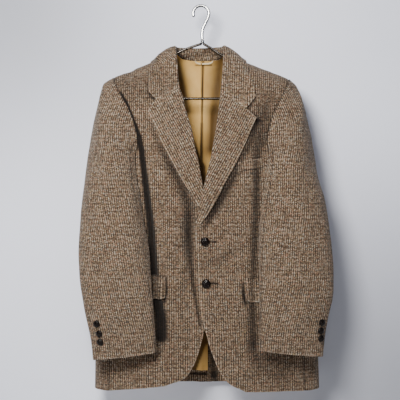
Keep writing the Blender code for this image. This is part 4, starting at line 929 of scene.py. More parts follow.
def shifted(angle, gap, side, behind):
    """An angle moved a short way towards centre front or centre back."""
    reach = abs(float(angle_to_reach(np.array(angle)))) - gap / SEAM_RING_WIDTH
    return float(reach_to_angle(side * reach, behind))


def reach_grid(inner, outer, parts, behind):
    """Angles between each row's two ends, evenly in reach."""
    first = np.array([angle_to_reach(np.array(angle)) for angle in inner])[:, None]
    last = np.array([angle_to_reach(np.array(angle)) for angle in outer])[:, None]
    return reach_to_angle(lerp(first, last, parts[None, :]), behind)


def back_neck_z(side, x):
    """The height of the back neckline at this x."""
    neck_z, neck_x = FRONT_EDGES[side][0]
    part = np.clip(np.abs(x) / abs(neck_x), 0, 1)
    return lerp(BACK_NECK_Z, neck_z, part**3.2)


def back_grid(side, centre_x):
    """The angles and heights of a back panel and its lining."""
    outer_ends = outline_rows(side, True)
    heights = np.array([z for _, z in outer_ends])
    rows = len(heights)
    armhole_rows = rows - len(LOWER_ROWS)
    armpit_z = heights[armhole_rows]
    centre_z = np.where(
        heights > armpit_z,
        lerp(BACK_NECK_Z, armpit_z, (heights - heights[0]) / (armpit_z - heights[0])), heights,
    )
    inner_angles = angle_at(centre_x(centre_z), centre_z, True)
    outer_angles = [shifted(angle, SEAM_GAP / 2, side, True) for angle, _ in outer_ends]
    neck_x = FRONT_EDGES[side][0][1]
    neck_part = abs(neck_x) / RIDGE_REACH_WIDTH / ARMHOLE[90][0]
    neck_parts = np.linspace(0, neck_part, NECK_COLUMNS + 1)
    parts = np.concatenate([neck_parts, np.linspace(neck_part, 1, SHOULDER_COLUMNS)[1:]])
    angle = reach_grid(inner_angles, outer_angles, parts, True)
    z = lerp(centre_z[:, None], heights[:, None], parts[None, :])
    top_x = RIDGE_REACH_WIDTH * angle_to_reach(angle[0])
    top = np.where(np.abs(top_x) < abs(neck_x) - 0.01, back_neck_z(side, top_x), shoulder(angle[0])[0])
    fade = np.clip(1 - np.arange(rows) / 7, 0, 1)[:, None] ** 2
    return angle, z + fade * (top - z[0])[None, :]


def centre_line(side, lining=False):
    """A centre back edge's x by height, with the vent's underlap on the right back.

    The lining is kept back from the vent's facings.
    """
    seam_x = CENTRE_BACK_X + side * SEAM_GAP / 2
    top = VENT_TOP_Z + LINING_VENT_RISE * lining
    if lining:
        vent_x = UNDERLAP_X + LINING_VENT_INSET[side]
    else:
        vent_x = UNDERLAP_X if side == RIGHT else seam_x
    return lambda z: lerp(seam_x, vent_x, np.clip((top - z) / VENT_SLANT, 0, 1))


def rolled_section(roll, edge, outward, tangent, radius, bow, start=None):
    """A section that turns over a roll and lies down to an outer edge.

    It starts at a neck seam where one is given, or just behind the roll.
    """
    outward = unit(outward - tangent * np.dot(outward, tangent))
    away = roll - edge
    crown = unit(away - tangent * np.dot(away, tangent) - outward * np.dot(away, outward))
    centre = roll - crown * radius
    turn = [
        centre
        + radius * (crown * math.sin(math.radians(a)) - outward * math.cos(math.radians(a)))
        for a in (0, 40, 90, 140, 180)
    ]
    first = centre - outward * radius - crown * 0.9 if start is None else start
    lead = [first] if start is None else [first, lerp(first, turn[0], 0.5)]
    fall_start = turn[-1]
    length = np.linalg.norm(edge - fall_start)
    bend = fall_start - crown * 0.45 * length + outward * bow
    fall = []
    for part in FALL_PARTS:
        rest = 1 - part
        fall.append(rest * rest * fall_start + 2 * rest * part * bend + part * part * edge)
    return lead + turn + fall


def lifted_off(middle, surface, first_column, least):
    """A collar's or lapel's fall, kept at least this far off the body's surface."""
    result = middle.copy()
    fall = middle[:, first_column:]
    for _ in range(3):
        angle = angle_at(fall[..., 0], fall[..., 2], fall[..., 1] > 0)
        ridge, _ = shoulder(angle)
        run = run_at(angle, fall[..., 2])
        normals = normals_of(surface, angle, run)
        level = np.sum((fall - surface(angle, run)) * normals, -1)
        short = np.maximum(least - level, 0) * (fall[..., 2] < ridge + 4)
        fall = fall + normals * short[..., None]
    result[:, first_column:] = fall
    return result


def bend_to_notch(middle, roll_xz, vertex, tip, direction, gap):
    """Moves a section's end row onto the gorge seam and the notch, fading into the next rows."""
    falls = len(FALL_PARTS)
    for column, part in enumerate(FALL_PARTS):
        if part <= VERTEX_PART:
            wanted = lerp(roll_xz, vertex, part / VERTEX_PART)
        else:
            wanted = lerp(vertex, tip, (part - VERTEX_PART) / (1 - VERTEX_PART))
        column_index = middle.shape[1] - falls + column
        shift = wanted - middle[0, column_index, [0, 2]]
        if part == 1.0:
            shift = shift * 0
        shift[1] -= direction * gap
        for row, share in enumerate((1.0, 0.55, 0.2)):
            middle[row, column_index, 0] += shift[0] * share
            middle[row, column_index, 2] += shift[1] * share
    for column_index in range(middle.shape[1] - falls):
        middle[0, column_index, 2] -= direction * gap


def outside_body(points, clearance, side):
    """Points that lie in the body, or nearer it than the clearance, moved out along rays."""
    centre, half_width, front, back = ring_sizes(points[..., 2])
    # Above the armhole's lower half the sleeve is free of the body
    full = lerp(0.5, 1.0, eased((SLEEVE_FREE_Z - points[..., 2]) / 60))
    half_width, front, back = half_width * full, front * full, back * full
    start = np.array([side * 100.0, 4.0])
    ray = points[..., :2] - start

    def inside(scale):
        x, y = start[0] + ray[..., 0] * scale, start[1] + ray[..., 1] * scale
        depth = np.where(y < 0, front, back) + clearance
        reach = np.abs(x - centre) / (half_width + clearance)
        return reach**BODY_POWER + (np.abs(y) / depth) ** BODY_POWER < 1

    near, far = np.ones_like(centre), np.full_like(centre, 40.0)
    moved = inside(near)
    for _ in range(30):
        middle = (near + far) / 2
        held = inside(middle)
        near, far = np.where(held, middle, near), np.where(held, far, middle)
    result = points.copy()
    result[..., :2] = np.where(moved[..., None], start + ray * far[..., None], points[..., :2])
    return result


def chords_outside(points, clearance, side):
    """A tube's points, moved out until the straight runs between them clear the body too."""
    for _ in range(6):
        for down, across in ((0, 1), (1, 0), (1, 1)):
            middle = (points + np.roll(points, (-down, -across), (0, 1))) / 2
            shift = outside_body(middle, clearance, side) - middle
            if down:
                shift[-1] = 0
            points = points + shift + np.roll(shift, (down, across), (0, 1))
    return points


# Materials


def colour(text):
    """A linear colour from an sRGB hex value."""
    values = [int(text[start : start + 2], 16) / 255 for start in (1, 3, 5)]
    linear = [v / 12.92 if v <= 0.04045 else ((v + 0.055) / 1.055) ** 2.4 for v in values]
    return (*linear, 1.0)


def add(tree, kind, links=None, values=None, **settings):
    """Adds a node with its settings, links (input: socket) and input values: gives its outputs.

    The kind of a shader node is given without its leading "ShaderNode".
    """
    made = tree.nodes.new(kind if "Node" in kind else "ShaderNode" + kind)
    for setting, value in settings.items():
        setattr(made, setting, value)
    for name, value in (values or {}).items():
        made.inputs[name].default_value = value
    for name, socket in (links or {}).items():
        tree.links.new(socket, made.inputs[name])
    return made.outputs


def ramp(tree, factor, stops, interpolation="LINEAR"):
    made = tree.nodes.new("ShaderNodeValToRGB")
    tree.links.new(factor, made.inputs["Fac"])
    made.color_ramp.interpolation = interpolation
    elements = made.color_ramp.elements
    for index, (place_at, value) in enumerate(stops):
        element = elements[index] if index < 2 else elements.new(place_at)
        element.position = place_at
        element.color = colour(value)
    return made.outputs["Color"]


def new_material(name, values):
    """A material whose shader has these input values, with its node tree and that shader."""
    made = bpy.data.materials.new(name)
    made.use_nodes = True
    shader = made.node_tree.nodes["Principled BSDF"]
    for value_name, value in values.items():
        shader.inputs[value_name].default_value = value
    return made, made.node_tree, shader


def relief(tree, shader, height, strength, distance):
    """Raises the surface by a height, 0 to 1, over this distance in metres."""
    bump = add(tree, "Bump", {"Height": height}, {"Strength": strength, "Distance": distance})
    tree.links.new(bump[0], shader.inputs["Normal"])


def blended(tree, links, values, blend_type):
    """A colour (6) blended with another (7) by a share (0)."""
    settings = {"data_type": "RGBA", "blend_type": blend_type}
    return add(tree, "Mix", links, values, **settings)[2]


# Real sizes of the patterns, in millimetres
TWEED_ACROSS_MM, TWEED_DOWN_MM = 4.8, 8.7
TAPE_RIB_MM = 1.1
LINING_THREAD_MM = 0.9


def wave(tree, source, periods):
    """A sine with this many whole waves in each unit of the source."""
    turn = add(tree, "Math", {0: source}, {1: 2 * math.pi * periods}, operation="MULTIPLY")
    return add(tree, "Math", {0: turn[0]}, operation="SINE")[0]


def noise(tree, source, scale, detail=2.0, part="Fac"):
    return add(tree, "TexNoise", {"Vector": source}, {"Scale": scale, "Detail": detail})[part]


def sum_of(tree, start, shares):
    """A start socket plus shares of others."""
    for source, share in shares:
        start = add(tree, "Math", {0: source, 2: start}, {1: share}, operation="MULTIPLY_ADD")[0]
    return start


def mapped(tree, source, low, high, to_low, to_high, **settings):
    """A socket's values from low to high, spread from to_low to to_high."""
    values = {1: low, 2: high, 3: to_low, 4: to_high}
    return add(tree, "MapRange", {0: source}, values, **settings)[0]


def with_painted_shade(tree, source, brown):
    """A colour darkened towards a dark brown as painted shade, where the piece's attribute for painted
    shade says so.
    """
    share = add(tree, "Attribute", attribute_name="painted_shade")["Fac"]
    return blended(tree, {0: share, 6: source}, {7: colour(brown)}, "MULTIPLY")


def tweed_material(name, tone):
    """Woollen tweed: flecked yarns in raised ribs, crossed by bars, matt and a little hairy."""
    made, tree, shader = new_material(
        name,
        {"Roughness": 0.92, "Specular IOR Level": 0.18, "Sheen Weight": 0.08, "Sheen Roughness": 0.6},
    )
    cloth_uv = add(tree, "UVMap", uv_map="cloth")["UV"]
    moved = add(
        tree, "VectorMath", {0: noise(tree, cloth_uv, 30.0, 1.0, "Color"), 2: cloth_uv},
        {1: (0.0016, 0.0016, 0.0)}, operation="MULTIPLY_ADD",
    )[0]
    place_in = add(tree, "SeparateXYZ", {0: moved})
    rib = wave(tree, place_in[0], 1000 / TWEED_ACROSS_MM)
    bar = wave(tree, place_in[1], 1000 / TWEED_DOWN_MM)
    yarns = add(
        tree, "VectorMath", {0: moved}, {1: (2000 / TWEED_ACROSS_MM, 4000 / TWEED_DOWN_MM, 0)},
        operation="MULTIPLY",
    )[0]
    cell = add(tree, "VectorMath", {0: yarns}, operation="FLOOR")[0]
    chance = add(tree, "TexWhiteNoise", {"Vector": cell}, noise_dimensions="2D")
    chances = add(tree, "SeparateColor", {0: chance["Color"]})
    hair = noise(tree, moved, 700.0, 3.0)
    patch = noise(tree, cloth_uv, 45.0, 3.0)
    # Pale rubbed edges, partly wear and partly painted highlight, and darker seams as painted shade
    wear_and_painted_light = add(tree, "Attribute", attribute_name="wear_and_painted_light")["Fac"]
    light = sum_of(
        tree, chance["Value"],
        ((rib, RIB_SHARE), (bar, BAR_SHARE), (hair, 0.7), (patch, 0.4), (wear_and_painted_light, WEAR_AND_PAINTED_LIGHT_SHARE)),
    )
    ground = ramp(
        tree, mapped(tree, light, -0.1, 2.15, 0.0, 1.0),
        (
            (0.0, TWEED_DARKEST), (0.28, TWEED_DARK), (0.5, TWEED_MID), (0.72, TWEED_LIGHT),
            (1.0, TWEED_CREAM),
        ),
    )
    # Yarns of other dyes, here and there and thicker in patches
    dyes = ramp(
        tree, sum_of(tree, chances[1], ((noise(tree, cloth_uv, 70.0), 0.9),)),
        ((0.0, TWEED_RUST), (0.75, TWEED_OCHRE), (0.95, TWEED_PINK), (1.12, TWEED_GREEN)), "CONSTANT",
    )
    fleck = sum_of(tree, chances[2], ((noise(tree, cloth_uv, 85.0, 1.0), 0.8),))
    fleck_share = mapped(tree, fleck, 0.75, 1.25, 0.0, DYE_SHARE)
    dyed = blended(tree, {0: fleck_share, 6: ground, 7: dyes}, {}, "COLOR")
    # The piece's tone: one of the lit and shaded copies of the tweed, as painted light and shade
    toned = blended(tree, {6: dyed}, {0: 1.0, 7: colour(tone)}, "MULTIPLY")
    # Painted shade: the tweed darkens where its piece is marked with it
    tree.links.new(with_painted_shade(tree, toned, TWEED_PAINTED_SHADE_COLOUR), shader.inputs["Base Color"])
    raised = sum_of(tree, rib, ((bar, 0.8), (hair, 1.6), (chance["Value"], 0.8)))
    relief(tree, shader, raised, 0.6, 0.0004)
    return made


def lining_material():
    """Viscose satin lining: fine warp-faced threads give it a soft lengthwise gloss."""
    made, tree, shader = new_material(
        "viscose satin lining", {"Roughness": 0.6, "Specular IOR Level": 0.12}
    )
    cloth_uv = add(tree, "UVMap", uv_map="cloth")["UV"]
    threads = add(
        tree, "VectorMath", {0: cloth_uv},
        {1: (1000 / LINING_THREAD_MM, 1000 / LINING_THREAD_MM / 12, 0)}, operation="MULTIPLY",
    )[0]
    warp = noise(tree, threads, 1.0)
    level = sum_of(tree, noise(tree, cloth_uv, 16.0), ((warp, 0.35),))
    shade = ramp(tree, level, ((0.3, LINING_DARK), (0.62, LINING_MID), (0.95, LINING_LIGHT)))
    # Painted shade: the lining darkens where its piece is marked with it
    tree.links.new(with_painted_shade(tree, shade, LINING_PAINTED_SHADE_COLOUR), shader.inputs["Base Color"])
    relief(tree, shader, warp, 0.25, 0.0002)
    return made


def leather_material():
    """Polished calf leather strips, knotted and lacquered: near black, with a bright small gloss."""
    made, tree, shader = new_material(
        "polished knotted leather",
        {"Roughness": 0.24, "Specular IOR Level": 0.12, "Coat Weight": 0.06, "Coat Roughness": 0.05},
    )
    place_in = add(tree, "TexCoord")["Object"]
    grain = add(tree, "TexVoronoi", {"Vector": place_in}, {"Scale": 2600.0})
    shade = ramp(tree, noise(tree, place_in, 420.0), ((0.3, LEATHER_DARK), (0.75, LEATHER_BROWN)))
    tree.links.new(shade, shader.inputs["Base Color"])
    relief(tree, shader, grain["Distance"], 0.3, 0.0001)
    return made


def steel_material(name, dark, bright, smoothest):
    """Drawn steel wire, its colour painted by its normal: a painted reflection, bright before, behind and
    above, and painted shade, dark at its flanks and beneath.
    """
    made, tree, shader = new_material(name, {"Metallic": 1.0})
    place_in = add(tree, "TexCoord")["Object"]
    rubbed = noise(tree, place_in, 70.0, 1.0)
    normal = add(tree, "NewGeometry")["Normal"]
    parts = add(tree, "SeparateXYZ", {0: normal})
    facing = add(tree, "Math", {0: parts[1]}, operation="ABSOLUTE")[0]
    # Painted reflection and shade: lighter where the wire faces front, back or up
    level = sum_of(tree, facing, ((parts[2], 0.5), (rubbed, 0.1)))
    tree.links.new(ramp(tree, level, ((0.65, dark), (1.0, bright))), shader.inputs["Base Color"])
    rough = mapped(tree, rubbed, 0.3, 0.8, smoothest, smoothest + 0.15)
    tree.links.new(rough, shader.inputs["Roughness"])
    return made


def tape_material():
    """Cotton tape: ribs across a narrow cream band, matt."""
    made, tree, shader = new_material("cotton tape", {"Roughness": 0.85})
    cloth_uv = add(tree, "UVMap", uv_map="cloth")["UV"]
    rib = wave(tree, add(tree, "SeparateXYZ", {0: cloth_uv})[0], 1000 / TAPE_RIB_MM)
    level = mapped(tree, rib, -1.0, 1.0, 0.0, 1.0)
    shade = ramp(tree, level, ((0.0, TAPE_SHADE), (1.0, TAPE_CREAM)))
    tree.links.new(shade, shader.inputs["Base Color"])
    relief(tree, shader, level, 0.5, 0.0003)
    return made


def thread_material(name, dark, light):
    """Twisted sewing silk: a soft gloss, darker in the twist."""
    made, tree, shader = new_material(name, {"Roughness": 0.6})
    twist = noise(tree, add(tree, "TexCoord")["Object"], 1500.0, 1.0)
    tree.links.new(ramp(tree, twist, ((0.3, dark), (0.7, light))), shader.inputs["Base Color"])
    return made


# Body pieces


def seam_dips(shape, sides, width=2.2):
    """How far a grid of this shape sinks towards its seams, over so many columns or rows."""
    rows, columns = shape
    away = {
        "first": np.arange(columns)[None, :], "last": np.arange(columns)[::-1][None, :],
        "top": np.arange(rows)[:, None],
    }
    dip = np.zeros(shape)
    for side in sides:
        dip = np.maximum(dip, np.exp(-away[side] / width))
    return SEAM_DIP * dip


def body_piece(node, surface, angle, z, across, outside, inside, seams, inside_from=None, rubbed=()):
    """A panel of the body, on the same lines as its solid."""
    run = np.maximum(run_at(angle, z), SEAM_GAP)
    angle, run = finer_grid(angle, run, BODY_DOWN, across)
    normals = normals_of(surface, angle, run)
    dip = seam_dips(angle.shape, seams)
    outer = surface(angle, run) - normals * dip[..., None]
    inner = outer - normals * (TWEED - 0.5 * dip)[..., None]
    uv = body_cloth(angle, run)
    lined = inside_from(outer[:-1, :-1]) if inside_from else None
    # Pale rubbed edges, partly wear and partly painted highlight, and darker seams as painted shade
    wear_and_painted_light = 1.3 * edge_wear_and_painted_light(outer, rubbed, seams, 2.0)
    # Painted shade: in the fronts' hollows outside, and inside the back beside the vent
    x, z, behind = outer[..., 0], outer[..., 2], outer[..., 1] > 0
    within = np.clip(line_strength(BACK_PAINTED_SHADE, x, z), 0, MOST_PAINTED_SHADE) * behind
    painted_shade = (hollow(x, z, 4) * ~behind, within)
    cloth(node, "tweed", outer, inner, uv, outside, inside, lined, wear_and_painted_light=wear_and_painted_light, painted_shade=painted_shade)


def front_grid(side):
    """The angles and heights of a front, as its solid has them."""
    outer_ends = outline_rows(side, False)
    heights = np.array([z for _, z in outer_ends])
    table = FRONT_EDGES[side]
    top, bottom = table[0, 0], table[-1, 0]
    edge_z = np.where(
        heights > BREAK_Z, lerp(top, BREAK_Z, (heights - heights[0]) / (BREAK_Z - heights[0])), heights
    )
    lower = (heights - CUTAWAY_Z) / (HEM_Z - CUTAWAY_Z)
    edge_z = np.where(heights < CUTAWAY_Z, lerp(CUTAWAY_Z, bottom, lower), edge_z)
    edge_x = smooth_table(table, edge_z, 1)
    inner_angles = angle_at(edge_x, edge_z, False)
    outer_angles = [shifted(angle, SEAM_GAP / 2, side, False) for angle, _ in outer_ends]
    parts = even(FRONT_COLUMNS)
    angle = reach_grid(inner_angles, outer_angles, parts, False)
    z = lerp(edge_z[:, None], heights[:, None], parts[None, :])
    z[0] = shoulder(angle[0])[0]
    return angle, z


def side_grid(side):
    """The angles and heights of a side body, as its solid has them."""
    keys = [key for key in ARMHOLE if BACK_SEAM_ANGLE <= key <= FRONT_SEAM_ANGLE]
    tops = np.array([armhole(side, key) for key in sorted(keys, reverse=True)])
    columns = len(tops)
    own_parts = (tops[:, 0] - tops[0, 0]) / (tops[-1, 0] - tops[0, 0])
    rows, heights = [tops[:, 0]], [tops[:, 1]]
    for index, z in enumerate(LOWER_ROWS, 1):
        parts = lerp(even(columns), own_parts, max(0.0, 1 - index / 4))
        rows.append(lerp(side_seam(side, z, False), side_seam(side, z, True), parts))
        heights.append(np.full(columns, z))
    return np.array(rows), np.array(heights)


def body_pieces(side, cloths):
    word = SIDE_NAMES[side]
    tweed, lining = cloths["tweed body"], cloths["lining"]

    def above_hem(points):
        return points[..., 2] > HEM_Z + HEM_TURN

    def past_facing(points):
        return (np.abs(points[..., 0]) > FACING_WIDTH) & above_hem(points)

    body_piece(
        f"front_{word}", SURFACES[f"front_{word}"], *front_grid(side), BODY_ACROSS, tweed, lining,
        ("last", "top"), past_facing, ("first", "low"),
    )
    body_piece(
        f"side_{word}", SURFACES["plain"], *side_grid(side), SIDE_ACROSS, tweed, lining,
        ("first", "last"), above_hem,
    )
    grid = back_grid(side, centre_line(side))
    body_piece(
        f"back_{word}", SURFACES[f"back_{word}"], *grid, BACK_ACROSS, tweed, tweed, ("last", "top")
    )


def lining_piece(side, cloths):
    """The back's lining, with a pleat pressed at the centre and loose wrinkles."""
    word = SIDE_NAMES[side]
    angle, z = back_grid(side, centre_line(side, True))
    angle[:, -1] = lerp(angle[:, -1], angle[:, -2], LINING_INSET)
    z[:, -1] = lerp(z[:, -1], z[:, -2], LINING_INSET)
    rows = [row for row in range(len(z)) if z[row].max() > LINING_HEM_Z] + [len(z) - 1]
    z = np.maximum(z, LINING_HEM_Z)
    angle, z = angle[rows], z[rows]
    run = np.maximum(run_at(angle, z), SEAM_GAP)
    angle, run = finer_grid(angle, run, BODY_DOWN, BACK_ACROSS)
    back = SURFACES[f"back_{word}"]
    loose = SURFACES[f"lining_{word}"]
    normals = normals_of(back, angle, run)
    against = back(angle, run) - normals * (TWEED + LINING_GAP)
    hangs = loose(angle, run) - normals * (TWEED + LINING_GAP)
    into = np.sum((hangs - against) * normals, -1)
    outer = against + normals * np.minimum(into - 1.0, 0.0)[..., None]
    pleat = np.exp(-((outer[..., 0] - CENTRE_BACK_X) / PLEAT_WIDTH) ** 2)
    outer = outer + normals * (pleat * PLEAT_DEPTH * (1 if side == RIGHT else -0.6))[..., None]
    inner = outer - normals * LINING
    # Painted shade where shadow falls on the lining
    painted_shade = np.clip(line_strength(LINING_PAINTED_SHADE, outer[..., 0], outer[..., 2]), 0, MOST_PAINTED_SHADE)
    cloth(
        f"lining_back_{word}", "lining", outer, inner, body_cloth(angle, run), cloths["lining"],
        round_by=THIN_EDGE_ROUND, painted_shade=painted_shade,
    )


# Lapels and collar


def lapel_middle(side, surface):
    """The middle of a lapel's cloth, as its solid has it."""
    parts = even(LAPEL_ROWS)
    roll_table = LAPEL_ROLL[side]
    roll_z = lerp(roll_table[0, 0], roll_table[-1, 0], parts)
    roll_x = smooth_table(roll_table, roll_z, 1)
    edge_xz = along(LAPEL_EDGE[side], parts)
    flat = eased((parts - 0.45) / 0.4) if side == RIGHT else eased((parts - 0.8) / 0.2)
    radius = lerp(ROLL_RADIUS, FLAT_ROLL_RADIUS, flat)
    roll, roll_normals = place(surface, roll_x, roll_z, level=radius - TWEED / 2)
    edge_level = lerp(LAPEL_LEVEL, 1.7, flat)
    edge, edge_normals = place(surface, edge_xz[:, 0], edge_xz[:, 1], level=edge_level)
    tangents = unit(np.gradient(roll, axis=0))
    outward = unit(roll_normals + edge_normals)
    sections = zip(roll, edge, outward, tangents, radius, LAPEL_BOW * (1 - flat))
    middle = np.array([rolled_section(*section) for section in sections])
    vertex = np.array(NOTCH[side][0], float)
    bend_to_notch(middle, np.array((roll_x[0], roll_z[0])), vertex, edge_xz[0], 1, 1.0)
    return lifted_off(middle, surface, LAPEL_FALL_FROM, LAPEL_LEVEL)


def collar_middle():
    """The middle of the collar's cloth, as its solid has it."""
    surface = SURFACES["smooth"]
    rolls, edges, seams, outwards = [], [], [], []
    for roll, edge, seam in COLLAR_STATIONS:
        edge_point, edge_normal = place(surface, edge[0], edge[1], bool(edge[2]), COLLAR_LEVEL)
        side = LEFT if seam[0] > 0 else RIGHT
        seam_z = float(back_neck_z(side, seam[0])) + STAND_GAP if seam[2] else seam[1]
        seam_point, _ = place(surface, seam[0], seam_z, bool(seam[2]), -TWEED / 2)
        rolls.append(roll)
        edges.append(edge_point)
        seams.append(seam_point)
        outwards.append(edge_normal)
    count = (len(rolls) - 1) * COLLAR_STEPS + 1
    parts = even(count)
    key_parts = even(len(rolls))

    def at_parts(values):
        table = np.column_stack([key_parts, np.asarray(values, float)])
        return np.stack([smooth_table(table, parts, axis) for axis in (1, 2, 3)], -1)

    rolls, edges, seams, outwards = map(at_parts, (rolls, edges, seams, outwards))
    outwards = unit(outwards)
    tangents = unit(np.gradient(rolls, axis=0))
    middle = np.array(
        [
            rolled_section(roll, edge, outward, tangent, COLLAR_ROLL_RADIUS, COLLAR_BOW, seam) for roll,
            edge, outward, tangent, seam in zip(rolls, edges, outwards, tangents, seams)
        ]
    )
    for side, grid in ((RIGHT, middle), (LEFT, middle[::-1])):
        vertex, point = (np.array(pair, float) for pair in NOTCH[side])
        bend_to_notch(grid, grid[0, 4, [0, 2]].copy(), vertex, point, -1, 0.7)
    return lifted_off(middle, surface, COLLAR_FALL_FROM, COLLAR_LEVEL)[::-1]


def turned_cloth(grid, lean):
    """The straight grain of a turned-over piece: it leans, and goes on round the roll."""
    turn = math.radians(lean)
    x, y, z = grid[..., 0], grid[..., 1], grid[..., 2]
    side = np.sign(grid[len(grid) // 2, 0, 0] - grid[len(grid) // 2, -1, 0])
    round_roll = 0.7 * side * (y - y[:, -1:])
    across = x * math.cos(turn) + z * math.sin(turn) + round_roll
    return np.stack([across, z * math.cos(turn) - x * math.sin(turn)], -1)


def turned_piece(node, middle, down, across, material, bulge, lean=0.0):
    """A shell about a grid of middle points, a little uneven, as pressed cloth is."""
    grid = finer(finer(middle, down), across, 1)
    normals = grid_normals(grid)
    rows, columns = grid.shape[:2]
    row_part = even(rows)[:, None]
    column_part = even(columns)[None, :]
    ripple = bulge * np.sin(5.2 * math.pi * row_part + 1.1) * np.sin(math.pi * column_part) ** 2
    grid = grid + facing_out(normals) * np.maximum(ripple, -0.1 * abs(bulge))[..., None]
    outer, inner = grid + normals * TWEED / 2, grid - normals * TWEED / 2
    if np.mean((outer - inner)[..., 1]) > 0:
        outer, inner = inner, outer
    # Pale edges, partly wear and partly painted highlight
    wear_and_painted_light = edge_wear_and_painted_light(grid, ("last", "top", "low"))
    painted_shade = 0.0 * wear_and_painted_light
    # Painted shade on the collar's stand and fall
    if not lean:
        x, z = grid[..., 0], grid[..., 2]
        painted_shade = np.where(
            column_part < 0.38, line_strength(STAND_PAINTED_SHADE, x, z), line_strength(FALL_PAINTED_SHADE, x, z)
        )
    uv = turned_cloth(grid, lean)
    cloth(node, "tweed_collar", outer, inner, uv, material, wear_and_painted_light=wear_and_painted_light, painted_shade=painted_shade)
    return grid


def lapels_and_collar(cloths):
    grids = []
    for side in (LEFT, RIGHT):
        word = SIDE_NAMES[side]
        middle = lapel_middle(side, SURFACES[f"under_lapel_{word}"])
        grid = turned_piece(
            f"lapel_{word}", middle, LAPEL_DOWN, LAPEL_ACROSS, cloths["tweed lapel"], LAPEL_BULGE,
            LAPEL_LEAN * side,
        )
        grids.append(grid)
    tweed = cloths["tweed collar"]
    grids.append(turned_piece("collar", collar_middle(), COLLAR_DOWN, COLLAR_ACROSS, tweed, COLLAR_BULGE))
    return grids


# Sleeves


def sleeve_grid(side):
    """A sleeve's tube as its solid has it, but for its folds, and how far each point has hung."""
    keys = sorted(ARMHOLE)
    turns = np.radians(np.array(keys, float))
    holes = np.array([armhole(side, key) for key in keys])
    run = np.maximum(run_at(holes[:, 0], holes[:, 1]), SEAM_GAP)
    starts = SURFACES["smooth"](holes[:, 0], run)
    normals = normals_of(SURFACES["smooth"], holes[:, 0], run)
    middle = starts.mean(axis=0)
    inward = unit(middle - starts - normals * np.sum((middle - starts) * normals, -1, keepdims=True))
    under = eased(0.35 - 1.2 * np.sin(turns))
    lift = lerp(SLEEVE_LIFT, SLEEVE_UNDER_LIFT, under)
    starts = starts + normals * lift[:, None] + inward * SLEEVE_LIFT
    table = SLEEVE_RINGS[side]
    cuff_turn = turns + math.radians(float(smooth_table(table, np.array(-800.0), 5)))
    inner_z, outer_z = CUFF_Z[side]
    cuff_z = lerp(inner_z, outer_z, (1 - np.cos(cuff_turn)) / 2)
    drops = np.array(SLEEVE_HEAD_DROPS, float)
    head = holes[:, 1][None, :] - drops[:, None]
    lower_parts = even(SLEEVE_LOWER_ROWS + 1)[1:, None]
    heights = np.concatenate([head, lerp(head[-1][None, :], cuff_z[None, :], lower_parts)])
    heights = np.minimum(heights, starts[:, 2][None, :])
    ring = [smooth_table(table, heights, column) for column in (1, 2, 3, 4, 5)]
    angle = turns[None, :] + np.radians(ring[4])
    target = np.stack(
        [side * (ring[0] - ring[1] * np.cos(angle)), ring[2] - ring[3] * np.sin(angle), heights], -1
    )
    drop = starts[None, :, 2] - heights
    reach_drop = 20 + 42 * np.abs(np.cos(turns)) * (np.sin(turns) > -0.3)
    rounding = np.clip(drop / reach_drop[None, :], 0, 1)
    share = (1 - (1 - rounding) ** 1.7)[..., None]
    clearance = lerp(lift[None, :], SLEEVE_CLEARANCE_TOP, np.clip(drop / 12, 0, 1))
    low = np.clip((-440 - heights) / 90, 0, 1)
    clearance = lerp(clearance, SLEEVE_CLEARANCE_LOW, low)
    target = outside_body(target, clearance, side)
    points = lerp(starts[None], target, share)
    points[..., 2] = heights
    points[0, :, 2] = starts[:, 2]
    points[1:] = outside_body(points[1:], clearance[1:], side)
    points = chords_outside(points, np.minimum(SLEEVE_CHORD_CLEARANCE, clearance), side)
    depth = (ring[2] - points[..., 1]) / (0.5 * ring[3])
    return points, depth, drop


def tube_normals(points, side):
    """Outward normals of a sleeve's grid, whose last column is its first one again."""
    outward = side * grid_normals(points[:, :-1], around=True)
    return np.concatenate([outward, outward[:, :1]], axis=1)


def level_girth(points, reference):
    """For each point of a tube, how far round it lies at its own height from a column of it."""
    z = points[..., 2]
    levels = np.arange(z.max(), z.min() - 4, -4.0)
    section = np.array(
        [
            [np.interp(-levels, -z[:, column], points[:, column, axis]) for axis in (0, 1)]
            for column in range(points.shape[1])
        ]
    )
    steps = np.hypot(*np.moveaxis(np.diff(section, axis=0), 1, 0))
    total = np.concatenate([np.zeros((1, len(levels))), np.cumsum(steps, axis=0)])
    total -= total[reference]
    return np.stack(
        [np.interp(-z[:, column], -levels, total[column]) for column in range(points.shape[1])], 1
    )


